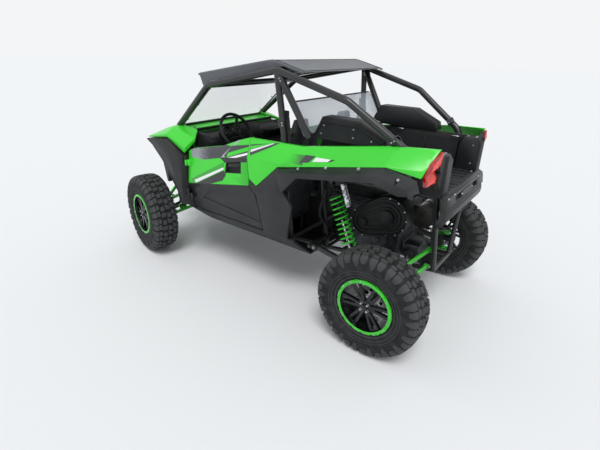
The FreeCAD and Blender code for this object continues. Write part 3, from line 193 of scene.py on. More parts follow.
def settle(piece):
    """Turns a piece's modifiers into plain mesh."""
    bpy.context.view_layer.update()
    shown = piece.evaluated_get(bpy.context.evaluated_depsgraph_get())
    plain = bpy.data.meshes.new_from_object(shown)
    piece.modifiers.clear()
    piece.data = plain
    return piece


def merged_copy(node):
    """A CAD piece's mesh with its loose triangles joined into whole faces."""
    shape = bmesh.new()
    shape.from_mesh(frame["nodes"][node].data)
    bmesh.ops.remove_doubles(shape, verts=shape.verts, dist=0.00002)
    bmesh.ops.dissolve_limit(shape, angle_limit=math.radians(0.6), verts=shape.verts, edges=shape.edges)
    mesh = bpy.data.meshes.new(node + "_merged")
    shape.to_mesh(mesh)
    shape.free()
    mesh.materials.clear()
    return mesh


def round_edges(piece, radius, segments, angle, hardened=False):
    """Rounds the edges of a piece that turn by more than so many degrees."""
    rounding = piece.modifiers.new("edge radius", "BEVEL")
    rounding.width = radius
    rounding.segments = segments
    rounding.limit_method = "ANGLE"
    rounding.angle_limit = math.radians(angle)
    rounding.use_clamp_overlap = True
    rounding.harden_normals = hardened
    settle(piece)


def eased(node, material, slot_name, radius=0.003, segments=2):
    """Stands in for a CAD piece with the same shape and its sharp edges rounded."""
    piece = linked(node + "_piece", merged_copy(node))
    piece.data.materials.append(material)
    round_edges(piece, radius, segments, 22, True)
    piece.data.shade_smooth()
    return kept(piece, frame["nodes"][node]["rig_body"], slot_name, node)


black_plastic = moulded("black_polyethylene", "#131416", "#202122", 0.5, specular=0.3, rubbed="#3d3e3f")
eased("floor_pan", black_plastic, "black_plastic", 0.002)


# Roll cage: 50 mm steel tube, bent and welded, in a satin black coat. Split
# clamps hold the braces at the roof corners and at the bed.

def mesh_of(name, build, material, smooth=None):
    """A mesh made by a function that fills a bmesh; smooth is the sharp angle in degrees."""
    shape = bmesh.new()
    build(shape)
    if smooth:
        bmesh.ops.recalc_face_normals(shape, faces=shape.faces)
    mesh = bpy.data.meshes.new(name)
    shape.to_mesh(mesh)
    shape.free()
    mesh.materials.append(material)
    if smooth:
        mesh.shade_smooth()
        mesh.set_sharp_from_angle(angle=math.radians(smooth))
    return mesh


def fitted(name, build, material, slot_name, smooth=40, body="root"):
    """A piece made by a function that fills a bmesh."""
    return kept(linked(name, mesh_of(name, build, material, smooth)), body, slot_name)


def turned_head(shape, spot, axis, profile, sides):
    """Adds a form turned about an axis through a spot; the profile is (radius, height) points."""
    frame_of = Vector(axis).normalized().to_track_quat("Z", "Y").to_matrix().to_4x4()
    frame_of.translation = Vector(spot)
    rings = []
    for radius, height in profile:
        turns = [2 * math.pi * i / sides for i in range(sides if radius > 0 else 1)]
        rings.append([shape.verts.new(frame_of @ Vector((radius * math.cos(a), radius * math.sin(a),
                                                         height)))
                      for a in turns])
    for low, high in zip(rings, rings[1:]):
        for i in range(sides):
            j = (i + 1) % sides
            corners = [low[i % len(low)], low[j % len(low)], high[j % len(high)], high[i % len(high)]]
            distinct = list(dict.fromkeys(corners))
            if len(distinct) > 2:
                shape.faces.new(distinct)


BOLT = [(0, 0), (1.0, 0), (1.0, 0.22), (0.92, 0.3), (0.72, 0.3), (0.72, 0.8), (0.62, 0.92), (0.3, 0.92),
        (0.3, 0.6), (0, 0.6)]


def bolts(name, spots, radius, material, sides=12):
    """Socket-head bolts at (place, axis) spots, as one piece on the vehicle's body."""
    def build(shape):
        for place, axis in spots:
            turned_head(shape, place, axis, [(r * radius, h * radius) for r, h in BOLT], sides)
    fitted(name, build, material, "cast_metal")


zinc = made_of("zinc_plated_steel", {"Metallic": 1.0, "Roughness": 0.28}, "#c9ccd0", "#9ea2a6", 0.02,
               0.002, 0.0002, 0.3)
black_bolt = made_of("black_oxide_steel", {"Metallic": 0.8, "Roughness": 0.4}, "#26282b", "#3b3d40", 0.02,
                     0.002, 0.0002, 0.3)
cage_coat = powder_coat("satin_black_coat", "#151618", "#232426", 0.32)
coat(cage_coat, "roll_cage")
clamp_bolts = []


def split_clamp(shape, centre, along, radius, length):
    """A two-piece collar with flanges, bored for a tube; along is the tube's direction."""
    way = Vector(along).normalized()
    foot = Vector(centre) - way * length / 2
    turned_head(shape, foot, way, [(radius, 0), (radius + 0.006, 0), (radius + 0.006, length),
                                   (radius, length)], 32)
    outward = way.cross(Vector((0, 0, 1))).normalized()
    for side in (1, -1):
        for share in (-0.25, 0.25):
            spot = Vector(centre) + outward * side * (radius + 0.005) + way * share * length
            clamp_bolts.append((spot, outward * side))


def cage_clamps(shape):
    """Three collars on each side: the brace's foot, the post and the roof corner."""
    for side in (1, -1):
        split_clamp(shape, (-1.2092, side * 0.532, 1.466), (0.418, side * -0.086, -0.285), 0.0252, 0.05)
        split_clamp(shape, (-0.340, side * 0.607, 1.48), (0.043, side * 0.03, 0.435), 0.0252, 0.04)
        split_clamp(shape, (-0.345, side * 0.62, 1.788), (-0.266, side * -0.045, -0.442), 0.0252, 0.035)


fitted("cage_clamps", cage_clamps, cage_coat, "cage_paint", 35)
bolts("cage_clamp_bolts", clamp_bolts, 0.006, zinc)


# Engine, gearcases and exhaust: sand-cast aluminium cases with a stainless
# muffler behind them, carried by the frame's cradle.
# The cast grey is kept much darker than bare aluminium. This is painted shade for the shade that fills the
# engine bay, and the calipers share it.
cast = made_of("sand_cast_aluminium", {"Metallic": 1.0, "Roughness": 0.5},
               "#4b4d50", "#2c2d2f", 0.08, 0.002, 0.0005, 0.6)
eased("engine", cast, "cast_metal", 0.014, 3)
eased("front_gearcase", cast, "cast_metal", 0.010, 3)


def pad_block(shape, low, high, turn=None, about=None):
    """Adds a box between two corners, turned about a point if asked."""
    corner = bmesh.ops.create_cube(shape, size=1)["verts"]
    bmesh.ops.scale(shape, verts=corner, vec=Vector(high) - Vector(low))
    bmesh.ops.translate(shape, verts=corner, vec=(Vector(high) + Vector(low)) / 2)
    if turn:
        bmesh.ops.rotate(shape, verts=corner, cent=about, matrix=turn)


def engine_fins(shape):
    """Cooling fins and round covers cast on the engine's left and right faces."""
    low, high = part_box("engine")
    for side in (1, -1):
        for k in range(9):
            z = high.z - 0.03 - 0.024 * k
            pad_block(shape, (low.x + 0.42, side * 0.214 - 0.006, z - 0.0045),
                      (low.x + 0.62, side * 0.214 + 0.006, z + 0.0045))
        for x, z, radius in ((-1.02, 0.60, 0.085), (-0.78, 0.62, 0.06), (-0.92, 0.80, 0.05)):
            if side > 0 and z > 0.65:
                continue
            turned_head(shape, (x, side * 0.209, z), (0, side, 0),
                        [(0, 0), (radius, 0), (radius, 0.012), (radius * 0.92, 0.016),
                         (radius * 0.8, 0.016), (radius * 0.76, 0.010), (radius * 0.3, 0.010),
                         (radius * 0.26, 0.018), (0, 0.018)], 40)


fitted("engine_fins", engine_fins, cast, "cast_metal", 35)

# The stainless is coloured far darker than bright steel. This is painted shade for the shade behind the
# engine, where the muffler sits.
stainless = made_of("brushed_stainless", {"Metallic": 1.0, "Roughness": 0.32},
                    "#6f6e6c", "#4c4844", 0.1, 0.0012, 0.0002, 0.3)
shaft_black = powder_coat("phosphated_steel", "#26272a", "#3b3b3b", 0.4)
coat(stainless, "exhaust")
coat(shaft_black, "half_shafts")


def muffler_bands(shape):
    """Rolled seams, straps and end caps round the muffler."""
    radius = 0.085
    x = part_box("exhaust")[0].x + radius
    z = 0.88
    for y in (-0.19, -0.07, 0.07, 0.19):
        turned_head(shape, (x, y - 0.007, z), (0, 1, 0),
                    [(radius - 0.002, 0), (radius + 0.003, 0.002), (radius + 0.003, 0.012),
                     (radius - 0.002, 0.014)], 48)
    for side in (1, -1):
        turned_head(shape, (x, side * 0.2095, z), (0, side, 0),
                    [(radius * 0.99, -0.002), (radius * 0.93, 0.0), (radius * 0.5, 0.0),
                     (radius * 0.45, -0.001)], 48)


fitted("muffler_bands", muffler_bands, stainless, "muffler_steel", 35)


# Belt drive cover: black moulded nylon, ribbed, screwed to the engine round
# its rim and breathing through a rubber duct.
eased("drive_cover", black_plastic, "black_plastic", 0.005, 3)
COVER_AXLE = (-1.1455, 0.879)
COVER_FACE = 0.371
cover_spots = []
for dx, dz, radius, start, end, count in ((0, 0, 0.1435, 92, 268, 7), (0.185, -0.085, 0.1115, -88, 42, 4)):
    for k in range(count):
        angle = math.radians(start + (end - start) * k / (count - 1))
        x = COVER_AXLE[0] + dx + radius * math.cos(angle)
        z = COVER_AXLE[1] + dz + radius * math.sin(angle)
        cover_spots.append(((x, COVER_FACE, z), (0, 1, 0)))
bolts("drive_cover_bolts", cover_spots, 0.0065, zinc)


# Coolant, brake and breather hoses: black rubber, clipped to the frame and
# the engine for their whole length.

def smooth_line(points, steps):
    """Places on a smooth line through points, with so many steps to each."""
    places = [Vector(p) for p in points]
    ends = [places[0] * 2 - places[1]] + places + [places[-1] * 2 - places[-2]]
    line = []
    for p0, p1, p2, p3 in zip(ends, ends[1:], ends[2:], ends[3:]):
        for k in range(steps):
            t = k / steps
            line.append(0.5 * (2 * p1 + (p2 - p0) * t + (2 * p0 - 5 * p1 + 4 * p2 - p3) * t * t
                               + (3 * p1 - p0 - 3 * p2 + p3) * t ** 3))
    return line + [places[-1]]


def headings(line):
    """Each place on a line with the line's direction there."""
    for i, spot in enumerate(line):
        yield spot, (line[min(i + 1, len(line) - 1)] - line[max(i - 1, 0)]).normalized()


def skin_rings(shape, rings, ends=True):
    """Faces from each ring of points to the next, and over the two ends."""
    for low, high in zip(rings, rings[1:]):
        for j in range(len(low)):
            k = (j + 1) % len(low)
            shape.faces.new((low[j], low[k], high[k], high[j]))
    if ends:
        shape.faces.new(rings[0][::-1])
        shape.faces.new(rings[-1])


def tube_along(shape, points, radius, sides=12, steps=8):
    """A round tube along a smooth line through points."""
    line = smooth_line(points, steps)
    side = (line[1] - line[0]).orthogonal().normalized()
    rings = []
    for spot, way in headings(line):
        side = (side - way * side.dot(way)).normalized()
        other = way.cross(side)
        rings.append([shape.verts.new(spot + (side * math.cos(a) + other * math.sin(a)) * radius)
                      for a in (2 * math.pi * j / sides for j in range(sides))])
    skin_rings(shape, rings)


hose_rubber = made_of("hose_rubber", {"Roughness": 0.55, "Specular IOR Level": 0.4},
                      "#121314", "#262626", 0.05, 0.003, 0.0003, 0.5)
HOSES = [
    (0.016, [(-0.62, 0.10, 0.90), (-0.60, 0.26, 0.96), (-0.66, 0.36, 0.99), (-0.78, 0.40, 1.04)]),
    (0.012, [(-0.60, 0.215, 0.62), (-0.585, 0.34, 0.66), (-0.59, 0.43, 0.80), (-0.64, 0.43, 0.98)]),
    (0.008, [(-0.60, 0.215, 0.54), (-0.60, 0.32, 0.50), (-0.66, 0.42, 0.50), (-0.74, 0.46, 0.54)]),
    (0.014, [(-0.62, -0.10, 0.90), (-0.60, -0.26, 0.96), (-0.66, -0.36, 0.99), (-0.78, -0.40, 1.04)]),
    (0.010, [(-0.60, -0.215, 0.60), (-0.59, -0.34, 0.64), (-0.60, -0.42, 0.80), (-0.66, -0.42, 1.00)]),
]


def hoses(shape):
    """All the hoses as one piece."""
    for radius, points in HOSES:
        tube_along(shape, points, radius)


fitted("hoses", hoses, hose_rubber, "black_plastic")


# Suspension arms: welded tube in gloss green powder coat, each held by a
# through-bolt at its bushings.
green_coat = powder_coat("green_powder_coat", "#2db51f", "#28991d", 0.27)
coat(green_coat, "front_wishbones", "radius_rods")
arm_spots = []
for side in (1, -1):
    for x, y, z in ((1.1175, 0.2283, 0.400), (1.3975, 0.2283, 0.400), (1.1075, 0.2603, 0.600),
                    (1.4075, 0.2603, 0.600)):
        for way in (1, -1):
            arm_spots.append(((x + way * 0.0285, side * y, z), (way, 0, 0)))
    for x, y, z in ((-1.436, 0.200, 0.500), (-1.436, 0.200, 0.640), (-1.2575, 0.5347, 0.3135),
                    (-1.2575, 0.5347, 0.4735)):
        arm_spots.append(((x - 0.0185, side * y, z), (-1, 0, 0)))
    arm_spots.append(((-0.617, side * 0.5355, 0.520), (0, side, 0)))
bolts("arm_bolts", arm_spots, 0.010, zinc)


# Dampers: a black anodised body on a chromed rod, with a bright reservoir
# strapped beside each one. The eyes take pins across the vehicle.
anodised = made_of("black_anodised_aluminium", {"Metallic": 0.7, "Roughness": 0.35},
                   "#1a1b1d", "#2c2d2f", 0.05, 0.003, 0.0002, 0.3)
chrome = made_of("hard_chrome", {"Metallic": 1.0, "Roughness": 0.12}, "#d8dadc", "#b9bbbd", 0.01)
bright, tree, shader = surface("bright_anodised_aluminium", {"Metallic": 1.0, "Roughness": 0.3})
place = add(tree, "ShaderNodeTexCoord").outputs["Object"]
chips = add(tree, "ShaderNodeTexVoronoi", {"Vector": place, "Scale": 75.0}, feature="F1")
dark_chips = add(tree, "ShaderNodeMapRange", {"Value": chips.outputs["Color"], "From Min": 0.5,
                                              "From Max": 0.54})
mottled = add(tree, "ShaderNodeMix", data_type="RGBA")
tree.links.new(dark_chips.outputs["Result"], mottled.inputs["Factor"])
mottled.inputs["A"].default_value = linear("#d3d6d8")
mottled.inputs["B"].default_value = linear("#7d8285")
tree.links.new(mottled.outputs["Result"], shader.inputs["Base Color"])
# Each damper on the left: its top eye, its foot eye, and where along it the collar sits.
SHOCKS = [((-0.742, 0.500, 1.0704), (-0.980, 0.520, 0.516), 0.14),
          ((1.200, 0.320, 1.0137), (1.2135, 0.4082, 0.3968), 0.12)]

shock_piece = linked("shocks_piece", merged_copy("shocks"))
for material in (anodised, chrome, bright):
    shock_piece.data.materials.append(material)
for face in shock_piece.data.polygons:
    centre = Vector(face.center)
    centre.y = abs(centre.y)
    best = None
    for top, foot, collar in SHOCKS:
        run = Vector(foot) - Vector(top)
        share = (centre - Vector(top)).dot(run) / run.length_squared
        gap = (centre - Vector(top) - run * share).length
        if best is None or gap < best[0]:
            best = (gap, share, centre - Vector(top) - run * share)
    gap, share, offset = best
    if gap < 0.0105 and 0.44 < share < 0.81:
        face.material_index = 1
    elif gap > 0.056 and abs(offset.x) > 0.05:
        face.material_index = 2
shock_piece.data.shade_smooth()
shock_piece.data.set_sharp_from_angle(angle=math.radians(35))
kept(shock_piece, "root", "cast_metal", "shocks")


def shock_rings(shape):
    """Threaded preload rings on each damper's body and clamps round its reservoir."""
    for side in (1, -1):
        for top, foot, collar in SHOCKS:
            top, foot = Vector(top), Vector(foot)
            top.y, foot.y = top.y * side, foot.y * side
            way = (foot - top).normalized()
            length = (foot - top).length
            for k in range(26):
                start = top + way * (length * 0.035 + 0.0035 * k)
                turned_head(shape, start, way, [(0.0235, 0), (0.0255, 0.0012), (0.0255, 0.002),
                                                (0.0235, 0.0032)], 24)
            start = top + way * (length * collar - 0.028)
            turned_head(shape, start, way, [(0.024, 0), (0.041, 0), (0.043, 0.003), (0.043, 0.012),
                                            (0.041, 0.0155), (0.024, 0.0155)], 12)


fitted("shock_rings", shock_rings, anodised, "cast_metal", 30)


# Coil springs: 13 mm round wire, wound cold, powder coated green and held
# between two perches on each damper.
spring_green = powder_coat("spring_green", "#2fd022", "#2bb31f", 0.24)
coat(spring_green, "springs")


# Tyres: carbon-black rubber, matt from the mould and greyed by dry dust on
# the tops of the blocks. One tyre is made about the Y axis, outer face to +Y,
# and each corner gets a copy on its own axle.
WHEELS = {}
for joint in frame["joints"]:
    if joint["name"].startswith("wheel_"):
        WHEELS[joint["child"]] = (Vector(joint["pos_m"]), Vector(joint["axis"]))
TYRE_RADIUS = 0.3935
TYRE_HALF = 0.127
LUG = 0.014
PITCHES = 18
PITCH_MM = 2 * math.pi * TYRE_RADIUS * 1000 / PITCHES


def corner_matrix(body):
    """Takes the wheel modelled about +Y to its corner, outer face outwards."""
    centre, axle = WHEELS[body]
    outward = axle if centre.y * axle.y > 0 else -axle
    turn = math.atan2(-outward.x, outward.y)
    return Matrix.Translation(centre) @ Matrix.Rotation(turn, 4, "Z")


def spun(shape, profile, steps=108):
    """Adds a closed ring turned about the Y axis from (radius, y) points."""
    angles = [2 * math.pi * i / steps for i in range(steps)]
    rings = [[shape.verts.new((r * math.sin(a), y, r * math.cos(a))) for r, y in profile] for a in angles]
    skin_rings(shape, rings + rings[:1], False)


def ring_tree():
    """Geometry Nodes: repeats a piece about the Y axis and sets its material."""
    tree = bpy.data.node_groups.new("repeat_round_axle", "GeometryNodeTree")
    sockets = {}
    for name, kind in (("Geometry", "NodeSocketGeometry"), ("Count", "NodeSocketInt"),
                       ("Material", "NodeSocketMaterial")):
        sockets[name] = tree.interface.new_socket(name, in_out="INPUT", socket_type=kind).identifier
    tree.interface.new_socket("Geometry", in_out="OUTPUT", socket_type="NodeSocketGeometry")
    given = add(tree, "NodeGroupInput")
    points = add(tree, "GeometryNodePoints", {"Count": given.outputs["Count"]})
    index = add(tree, "GeometryNodeInputIndex")
    step = add(tree, "ShaderNodeMath", {0: 2 * math.pi, 1: given.outputs["Count"]}, operation="DIVIDE")
    angle = add(tree, "ShaderNodeMath", {0: index.outputs[0], 1: step.outputs[0]}, operation="MULTIPLY")
    turn = add(tree, "ShaderNodeCombineXYZ", {"Y": angle.outputs[0]})
    copies = add(tree, "GeometryNodeInstanceOnPoints", {
        "Points": points.outputs["Points"], "Instance": given.outputs["Geometry"],
        "Rotation": turn.outputs[0]})
    real = add(tree, "GeometryNodeRealizeInstances", {"Geometry": copies.outputs[0]})
    painted = add(tree, "GeometryNodeSetMaterial", {
        "Geometry": real.outputs[0], "Material": given.outputs["Material"]})
    result = add(tree, "NodeGroupOutput")
    tree.links.new(painted.outputs[0], result.inputs[0])
    return tree, sockets


round_axle, round_inputs = ring_tree()


def repeated(name, mesh, count, material):
    """A plain mesh of count copies of a piece round the Y axis."""
    seed = linked(name, mesh)
    repeat = seed.modifiers.new("round the axle", "NODES")
    repeat.node_group = round_axle
    repeat[round_inputs["Count"]] = count
    repeat[round_inputs["Material"]] = material
    settle(seed)
    made = seed.data
    bpy.data.objects.remove(seed)
    return made


rubber = made_of("tyre_rubber", {"Roughness": 0.8, "Specular IOR Level": 0.3}, "#17181a", "#2e2f2f", 0.05,
                 1 / 320, 0.0006, 0.5, "NOISE", 4.0)
worn_edges(rubber, "#5c5e5e", 0.5)

# Tyre section from the crown outwards: (distance along the skin, radius, y).
CROWN = TYRE_RADIUS - LUG
skin_line = [(0, CROWN, 0)]
for radius, y in ((CROWN - 0.001, 0.05), (CROWN - 0.007, 0.092), (CROWN - 0.021, 0.108),
                  (CROWN - 0.040, 0.1165), (0.300, 0.1210), (0.262, 0.1205), (0.232, 0.1145),
                  (0.2155, 0.104)):
    run, last_radius, last_y = skin_line[-1]
    skin_line.append((run + math.hypot(radius - last_radius, y - last_y), radius, y))


def on_skin(across, angle, height):
    """A point over the tyre's skin: mm across it, angle round the axle, height in metres."""
    side = -1 if across < 0 else 1
    reach = abs(across) / 1000
    for (run0, r0, y0), (run1, r1, y1) in zip(skin_line, skin_line[1:]):
        if reach <= run1:
            break
    share = (reach - run0) / (run1 - run0)
    length = math.hypot(r1 - r0, y1 - y0)
    radius = r0 + (r1 - r0) * share + height * (y1 - y0) / length
    y = min(y0 + (y1 - y0) * share + height * (r0 - r1) / length, TYRE_HALF)
    radius = min(radius, TYRE_RADIUS)
    return Vector((radius * math.sin(angle), side * y, radius * math.cos(angle)))


# One pitch of tread, in mm: each block is a strip of stations across the
# skin, (across, start round the tyre, end round the tyre, height).
BLOCKS = [
    [(4, 12, 44, 14), (20, 4, 50, 14), (36, 2, 40, 14), (50, 10, 34, 14)],
    [(8, 66, 104, 14), (26, 60, 108, 14), (44, 70, 100, 14)],
    [(56, 22, 66, 14), (70, 16, 70, 14), (84, 20, 60, 13.5)],
    [(54, 86, 122, 14), (68, 80, 128, 14), (82, 88, 116, 13.5)],
    [(88, 74, 122, 13.5), (104, 70, 124, 13), (118, 72, 122, 11), (136, 76, 118, 8), (156, 82, 110, 5),
     (166, 86, 106, 3)],
    [(88, 12, 58, 13.5), (104, 8, 62, 13), (116, 10, 60, 11), (130, 14, 56, 7.5), (140, 18, 50, 5)],
]


def tread_pitch(shape):
    """The blocks of one pitch, on both sides of the crown, half a pitch apart."""
    for side in (1, -1):
        shift = 0 if side > 0 else PITCH_MM / 2
        for block in BLOCKS:
            rows = []
            for across, start, end, height in block:
                top = height / 1000
                row = []
                for round_mm, lift in ((start - 2.5, -0.003), (start, top - 0.0016), (start + 2, top),
                                       (end - 2, top), (end, top - 0.0016), (end + 2.5, -0.003)):
                    angle = (round_mm + shift) / 1000 / TYRE_RADIUS
                    row.append(shape.verts.new(on_skin(side * across, angle, lift)))
                rows.append(row)
            skin_rings(shape, rows)


def tyre(shape):
    """The carcass, the tread round it and three ribs on each side wall."""
    half = [station[1:] for station in skin_line]
    spun(shape, half[::-1] + [(r, -y) for r, y in half[1:]] + [(0.1925, -0.088), (0.1925, 0.088)])
    for radius, y, width in ((0.272, 0.1207, 0.0025), (0.252, 0.1188, 0.0025), (0.226, 0.1105, 0.004)):
        for side in (1, -1):
            spun(shape, [(radius - width, side * (y - 0.002)), (radius - width / 2, side * (y + 0.0015)),
                         (radius + width / 2, side * (y + 0.0015)), (radius + width, side * (y - 0.002))])
    shape.from_mesh(repeated("tread", mesh_of("tread_pitch", tread_pitch, rubber), PITCHES, rubber))
    for face in shape.faces:
        face.material_index = 0


def at_corners(name, source, slot_name, holder=None, *replaced):
    """A copy of a piece modelled about +Y at each corner, on its wheel or on what holder says."""
    for body in WHEELS:
        mesh = source.copy()
        mesh.transform(corner_matrix(body))
        kept(linked(name + body, mesh), holder(body) if holder else body, slot_name,
             *[node + body[6:] for node in replaced])


at_corners("tyre_of_", mesh_of("tyre", tyre, rubber, 32), "tyre_rubber", None, "tyre_")


# Rims: cast aluminium in satin black with split spokes. A green ring, held by
# sixteen bolts between its notches, clamps the tyre's outer bead.
rim_black = made_of("black_cast_wheel", {"Metallic": 0.5, "Roughness": 0.34, "Coat Weight": 0.4},
                    "#0e0f11", "#1b1c1e", 0.06, 0.004, 0.0003, 0.3)
ring_green = powder_coat("ring_green", "#35cf26", "#2eb020", 0.25)
for body in WHEELS:
    node = "rim_" + body[6:]
    piece = linked(node + "_piece", merged_copy(node))
    piece.data.materials.append(rim_black)
    piece.data.materials.append(ring_green)
    round_edges(piece, 0.002, 2, 24)
    home = corner_matrix(body).inverted()
    spots = [home @ vertex.co for vertex in piece.data.vertices]
    for face in piece.data.polygons:
        if all(spots[i].y > 0.0965 and math.hypot(spots[i].x, spots[i].z) > 0.178 for i in face.vertices):
            face.material_index = 1
    piece.data.shade_smooth()
    piece.data.set_sharp_from_angle(angle=math.radians(30))
    kept(piece, body, "rim_black", node)


RING_BOLTS = 16
RING_RADIUS = 0.1965
HUB_FACE = 0.0922


def ring_bolt(shape):
    """One bolt on the green ring, half a pitch from its top."""
    angle = math.pi / RING_BOLTS
    turned_head(shape, (math.sin(angle) * RING_RADIUS, 0.112, math.cos(angle) * RING_RADIUS),
                (0, 1, 0), [(r * 0.0062, h * 0.0062) for r, h in BOLT], 12)


def hub_nuts(shape):
    """Four tapered lug nuts round the wheel's centre."""
    for k in range(4):
        angle = math.pi / 4 + math.pi / 2 * k
        turned_head(shape, (0.034 * math.cos(angle), HUB_FACE, 0.034 * math.sin(angle)), (0, 1, 0),
                    [(0.010, 0), (0.010, 0.003), (0.0085, 0.004), (0.0085, 0.016), (0.006, 0.019),
                     (0, 0.019)], 6)


def hub_cap(shape):
    """A domed cap over the spindle's end."""
    turned_head(shape, (0, HUB_FACE, 0), (0, 1, 0),
                [(0.021, 0), (0.021, 0.006), (0.018, 0.012), (0.012, 0.0145), (0, 0.015)], 32)


one_bolt = mesh_of("ring_bolt", ring_bolt, zinc, 40)
at_corners("ring_bolts_", repeated("ring_bolts", one_bolt, RING_BOLTS, zinc), "cast_metal")
at_corners("hub_nuts_", mesh_of("hub_nuts", hub_nuts, zinc, 35), "cast_metal")
at_corners("hub_cap_", mesh_of("hub_cap", hub_cap, rim_black, 35), "rim_black")


# Brakes: a ground steel disc behind each wheel, with a caliper on the upright
# or on the trailing arm's carrier.
disc_steel = made_of("ground_steel_disc", {"Metallic": 1.0, "Roughness": 0.3},
                     "#b0b2b4", "#85807a", 0.05, 0.0015, 0.0002, 0.4)


def brake_disc(shape):
    """A ring of steel on eight arms from a carrier round the spindle."""
    spun(shape, [(0.0315, -0.05), (0.050, -0.05), (0.050, -0.042), (0.0315, -0.042)], 64)
    spun(shape, [(0.072, -0.049), (0.112, -0.049), (0.112, -0.043), (0.072, -0.043)], 64)
    for k in range(8):
        pad_block(shape, (-0.007, -0.049, 0.046), (0.007, -0.043, 0.076),
                  Matrix.Rotation(math.pi / 4 * k, 3, "Y"), (0, 0, 0))


def rounded(shape, radius, segments=2):
    """Rounds every edge made so far."""
    bmesh.ops.bevel(shape, geom=shape.edges, offset=radius, segments=segments, affect="EDGES",
                    clamp_overlap=True)


def caliper(shape):
    """A two-piston caliper that straddles the disc's front edge, with its bracket."""
    pad_block(shape, (0.070, -0.068, -0.035), (0.128, -0.053, 0.035))
    pad_block(shape, (0.070, -0.039, -0.035), (0.128, -0.024, 0.035))
    pad_block(shape, (0.1145, -0.068, -0.035), (0.128, -0.024, 0.035))
    pad_block(shape, (0.030, -0.118, -0.020), (0.095, -0.062, 0.020))
    rounded(shape, 0.003)


def upright_of(body):
    """The body that carries a wheel's caliper."""
    return "root" if "rear" in body else "knuckle_" + body.split("_")[-1]


at_corners("brake_disc_", mesh_of("brake_disc", brake_disc, disc_steel, 35), "cast_metal")
at_corners("caliper_", mesh_of("caliper", caliper, cast, 35), "cast_metal", upright_of)


# Lower body: door shells, side panels, wheel flares and bumpers, moulded in
# charcoal polypropylene with a fine grain and hung on the frame with screws.
charcoal = moulded("charcoal_polypropylene", "#1f2123", "#2d2e2f", 0.42, 0.0014, 0.00025, 0.4)
for side in ("left", "right"):
    for name in ("door_shell_", "side_panel_", "rear_flare_", "front_flare_"):
        eased(name + side, charcoal, "dark_body", 0.004)
eased("front_bumper", charcoal, "dark_body", 0.004)
eased("rear_bumper", charcoal, "dark_body", 0.004)
flare_spots = []
for side in (1, -1):
    for x, z in ((-0.600, 1.212), (-0.830, 1.262), (-1.075, 1.302), (-1.3455, 1.283)):
        flare_spots.append(((x + 0.001, side * 0.7432, z + 0.004), (0, side, 0)))
bolts("flare_bolts", flare_spots, 0.0105, zinc)


targets = {}


def placed_on(node, start, way):
    """Where a ray meets a piece that stands in for a CAD piece, and the normal there."""
    if node not in targets:
        piece = bpy.data.objects[node + "_piece"]
        targets[node] = BVHTree.FromObject(piece, bpy.context.evaluated_depsgraph_get())
    return targets[node].ray_cast(Vector(start), Vector(way))[:2]


def beside(node, side, x, z):
    """The outer face of a piece on one side of the vehicle, at x and z."""
    return placed_on(node, (x, side * 1.2, z), (0, -side, 0))


def push_pins(name, node, places, radius=0.009):
    """Flat round-headed plastic rivets on the outer face of a side piece."""
    def build(shape):
        side = -1 if node.endswith("right") else 1
        for x, z in places:
            spot, normal = beside(node, side, x, z)
            if spot:
                turned_head(shape, spot, normal, [(0, 0), (radius, 0), (radius, 0.0012),
                                                  (radius * 0.8, 0.0024), (radius * 0.4, 0.0026),
                                                  (radius * 0.35, 0.0016), (0, 0.0016)], 20)
    fitted(name, build, black_plastic, "black_plastic")


for side in ("left", "right"):
    push_pins("front_flare_pins_" + side, "front_flare_" + side,
              [(0.69, 1.16), (0.66, 1.02), (0.65, 0.86), (0.65, 0.70), (0.86, 1.185), (1.02, 1.19)])
    push_pins("side_panel_pins_" + side, "side_panel_" + side,
              [(-0.16, 1.15), (-0.33, 1.15), (-0.16, 0.625), (-0.48, 0.72)])


# Upper body: hood, front fenders, door skins and quarter panels, moulded in
# gloss green and carried by the cage. Printed film graphics are stuck on them.
green_panel = made_of("gloss_green_moulding",
                      {"Roughness": 0.34, "Coat Weight": 0.25, "Coat Roughness": 0.22}, "#3ddb31",
                      "#3ad12f", 0.4, 0.02, 0.0005, 0.10)
for side in ("left", "right"):
    for name in ("quarter_panel_", "door_skin_", "front_fender_"):
        eased(name + side, green_panel, "green_body", 0.004)
hood_shell = eased("hood", green_panel, "green_body", 0.006)
hood_shell.data.materials.append(black_plastic)
for face in hood_shell.data.polygons:
    if face.center.x < 0.775:
        face.material_index = 1


def film(name, colour):
    """Printed vinyl film with a clear laminate over it."""
    material, tree, shader = surface(name, {
        "Base Color": linear(colour), "Roughness": 0.3, "Coat Weight": 0.5, "Coat Roughness": 0.15})
    grain(tree, shader, 0.006, 0.0002, 0.2)
    return material


film_dark = film("charcoal_film", "#33363b")
film_black = film("black_film", "#121315")
film_white = film("white_film", "#f1f3f4")
film_grey = film("silver_film", "#a9afb3")
film_green = film("deep_green_film", "#22a51b")


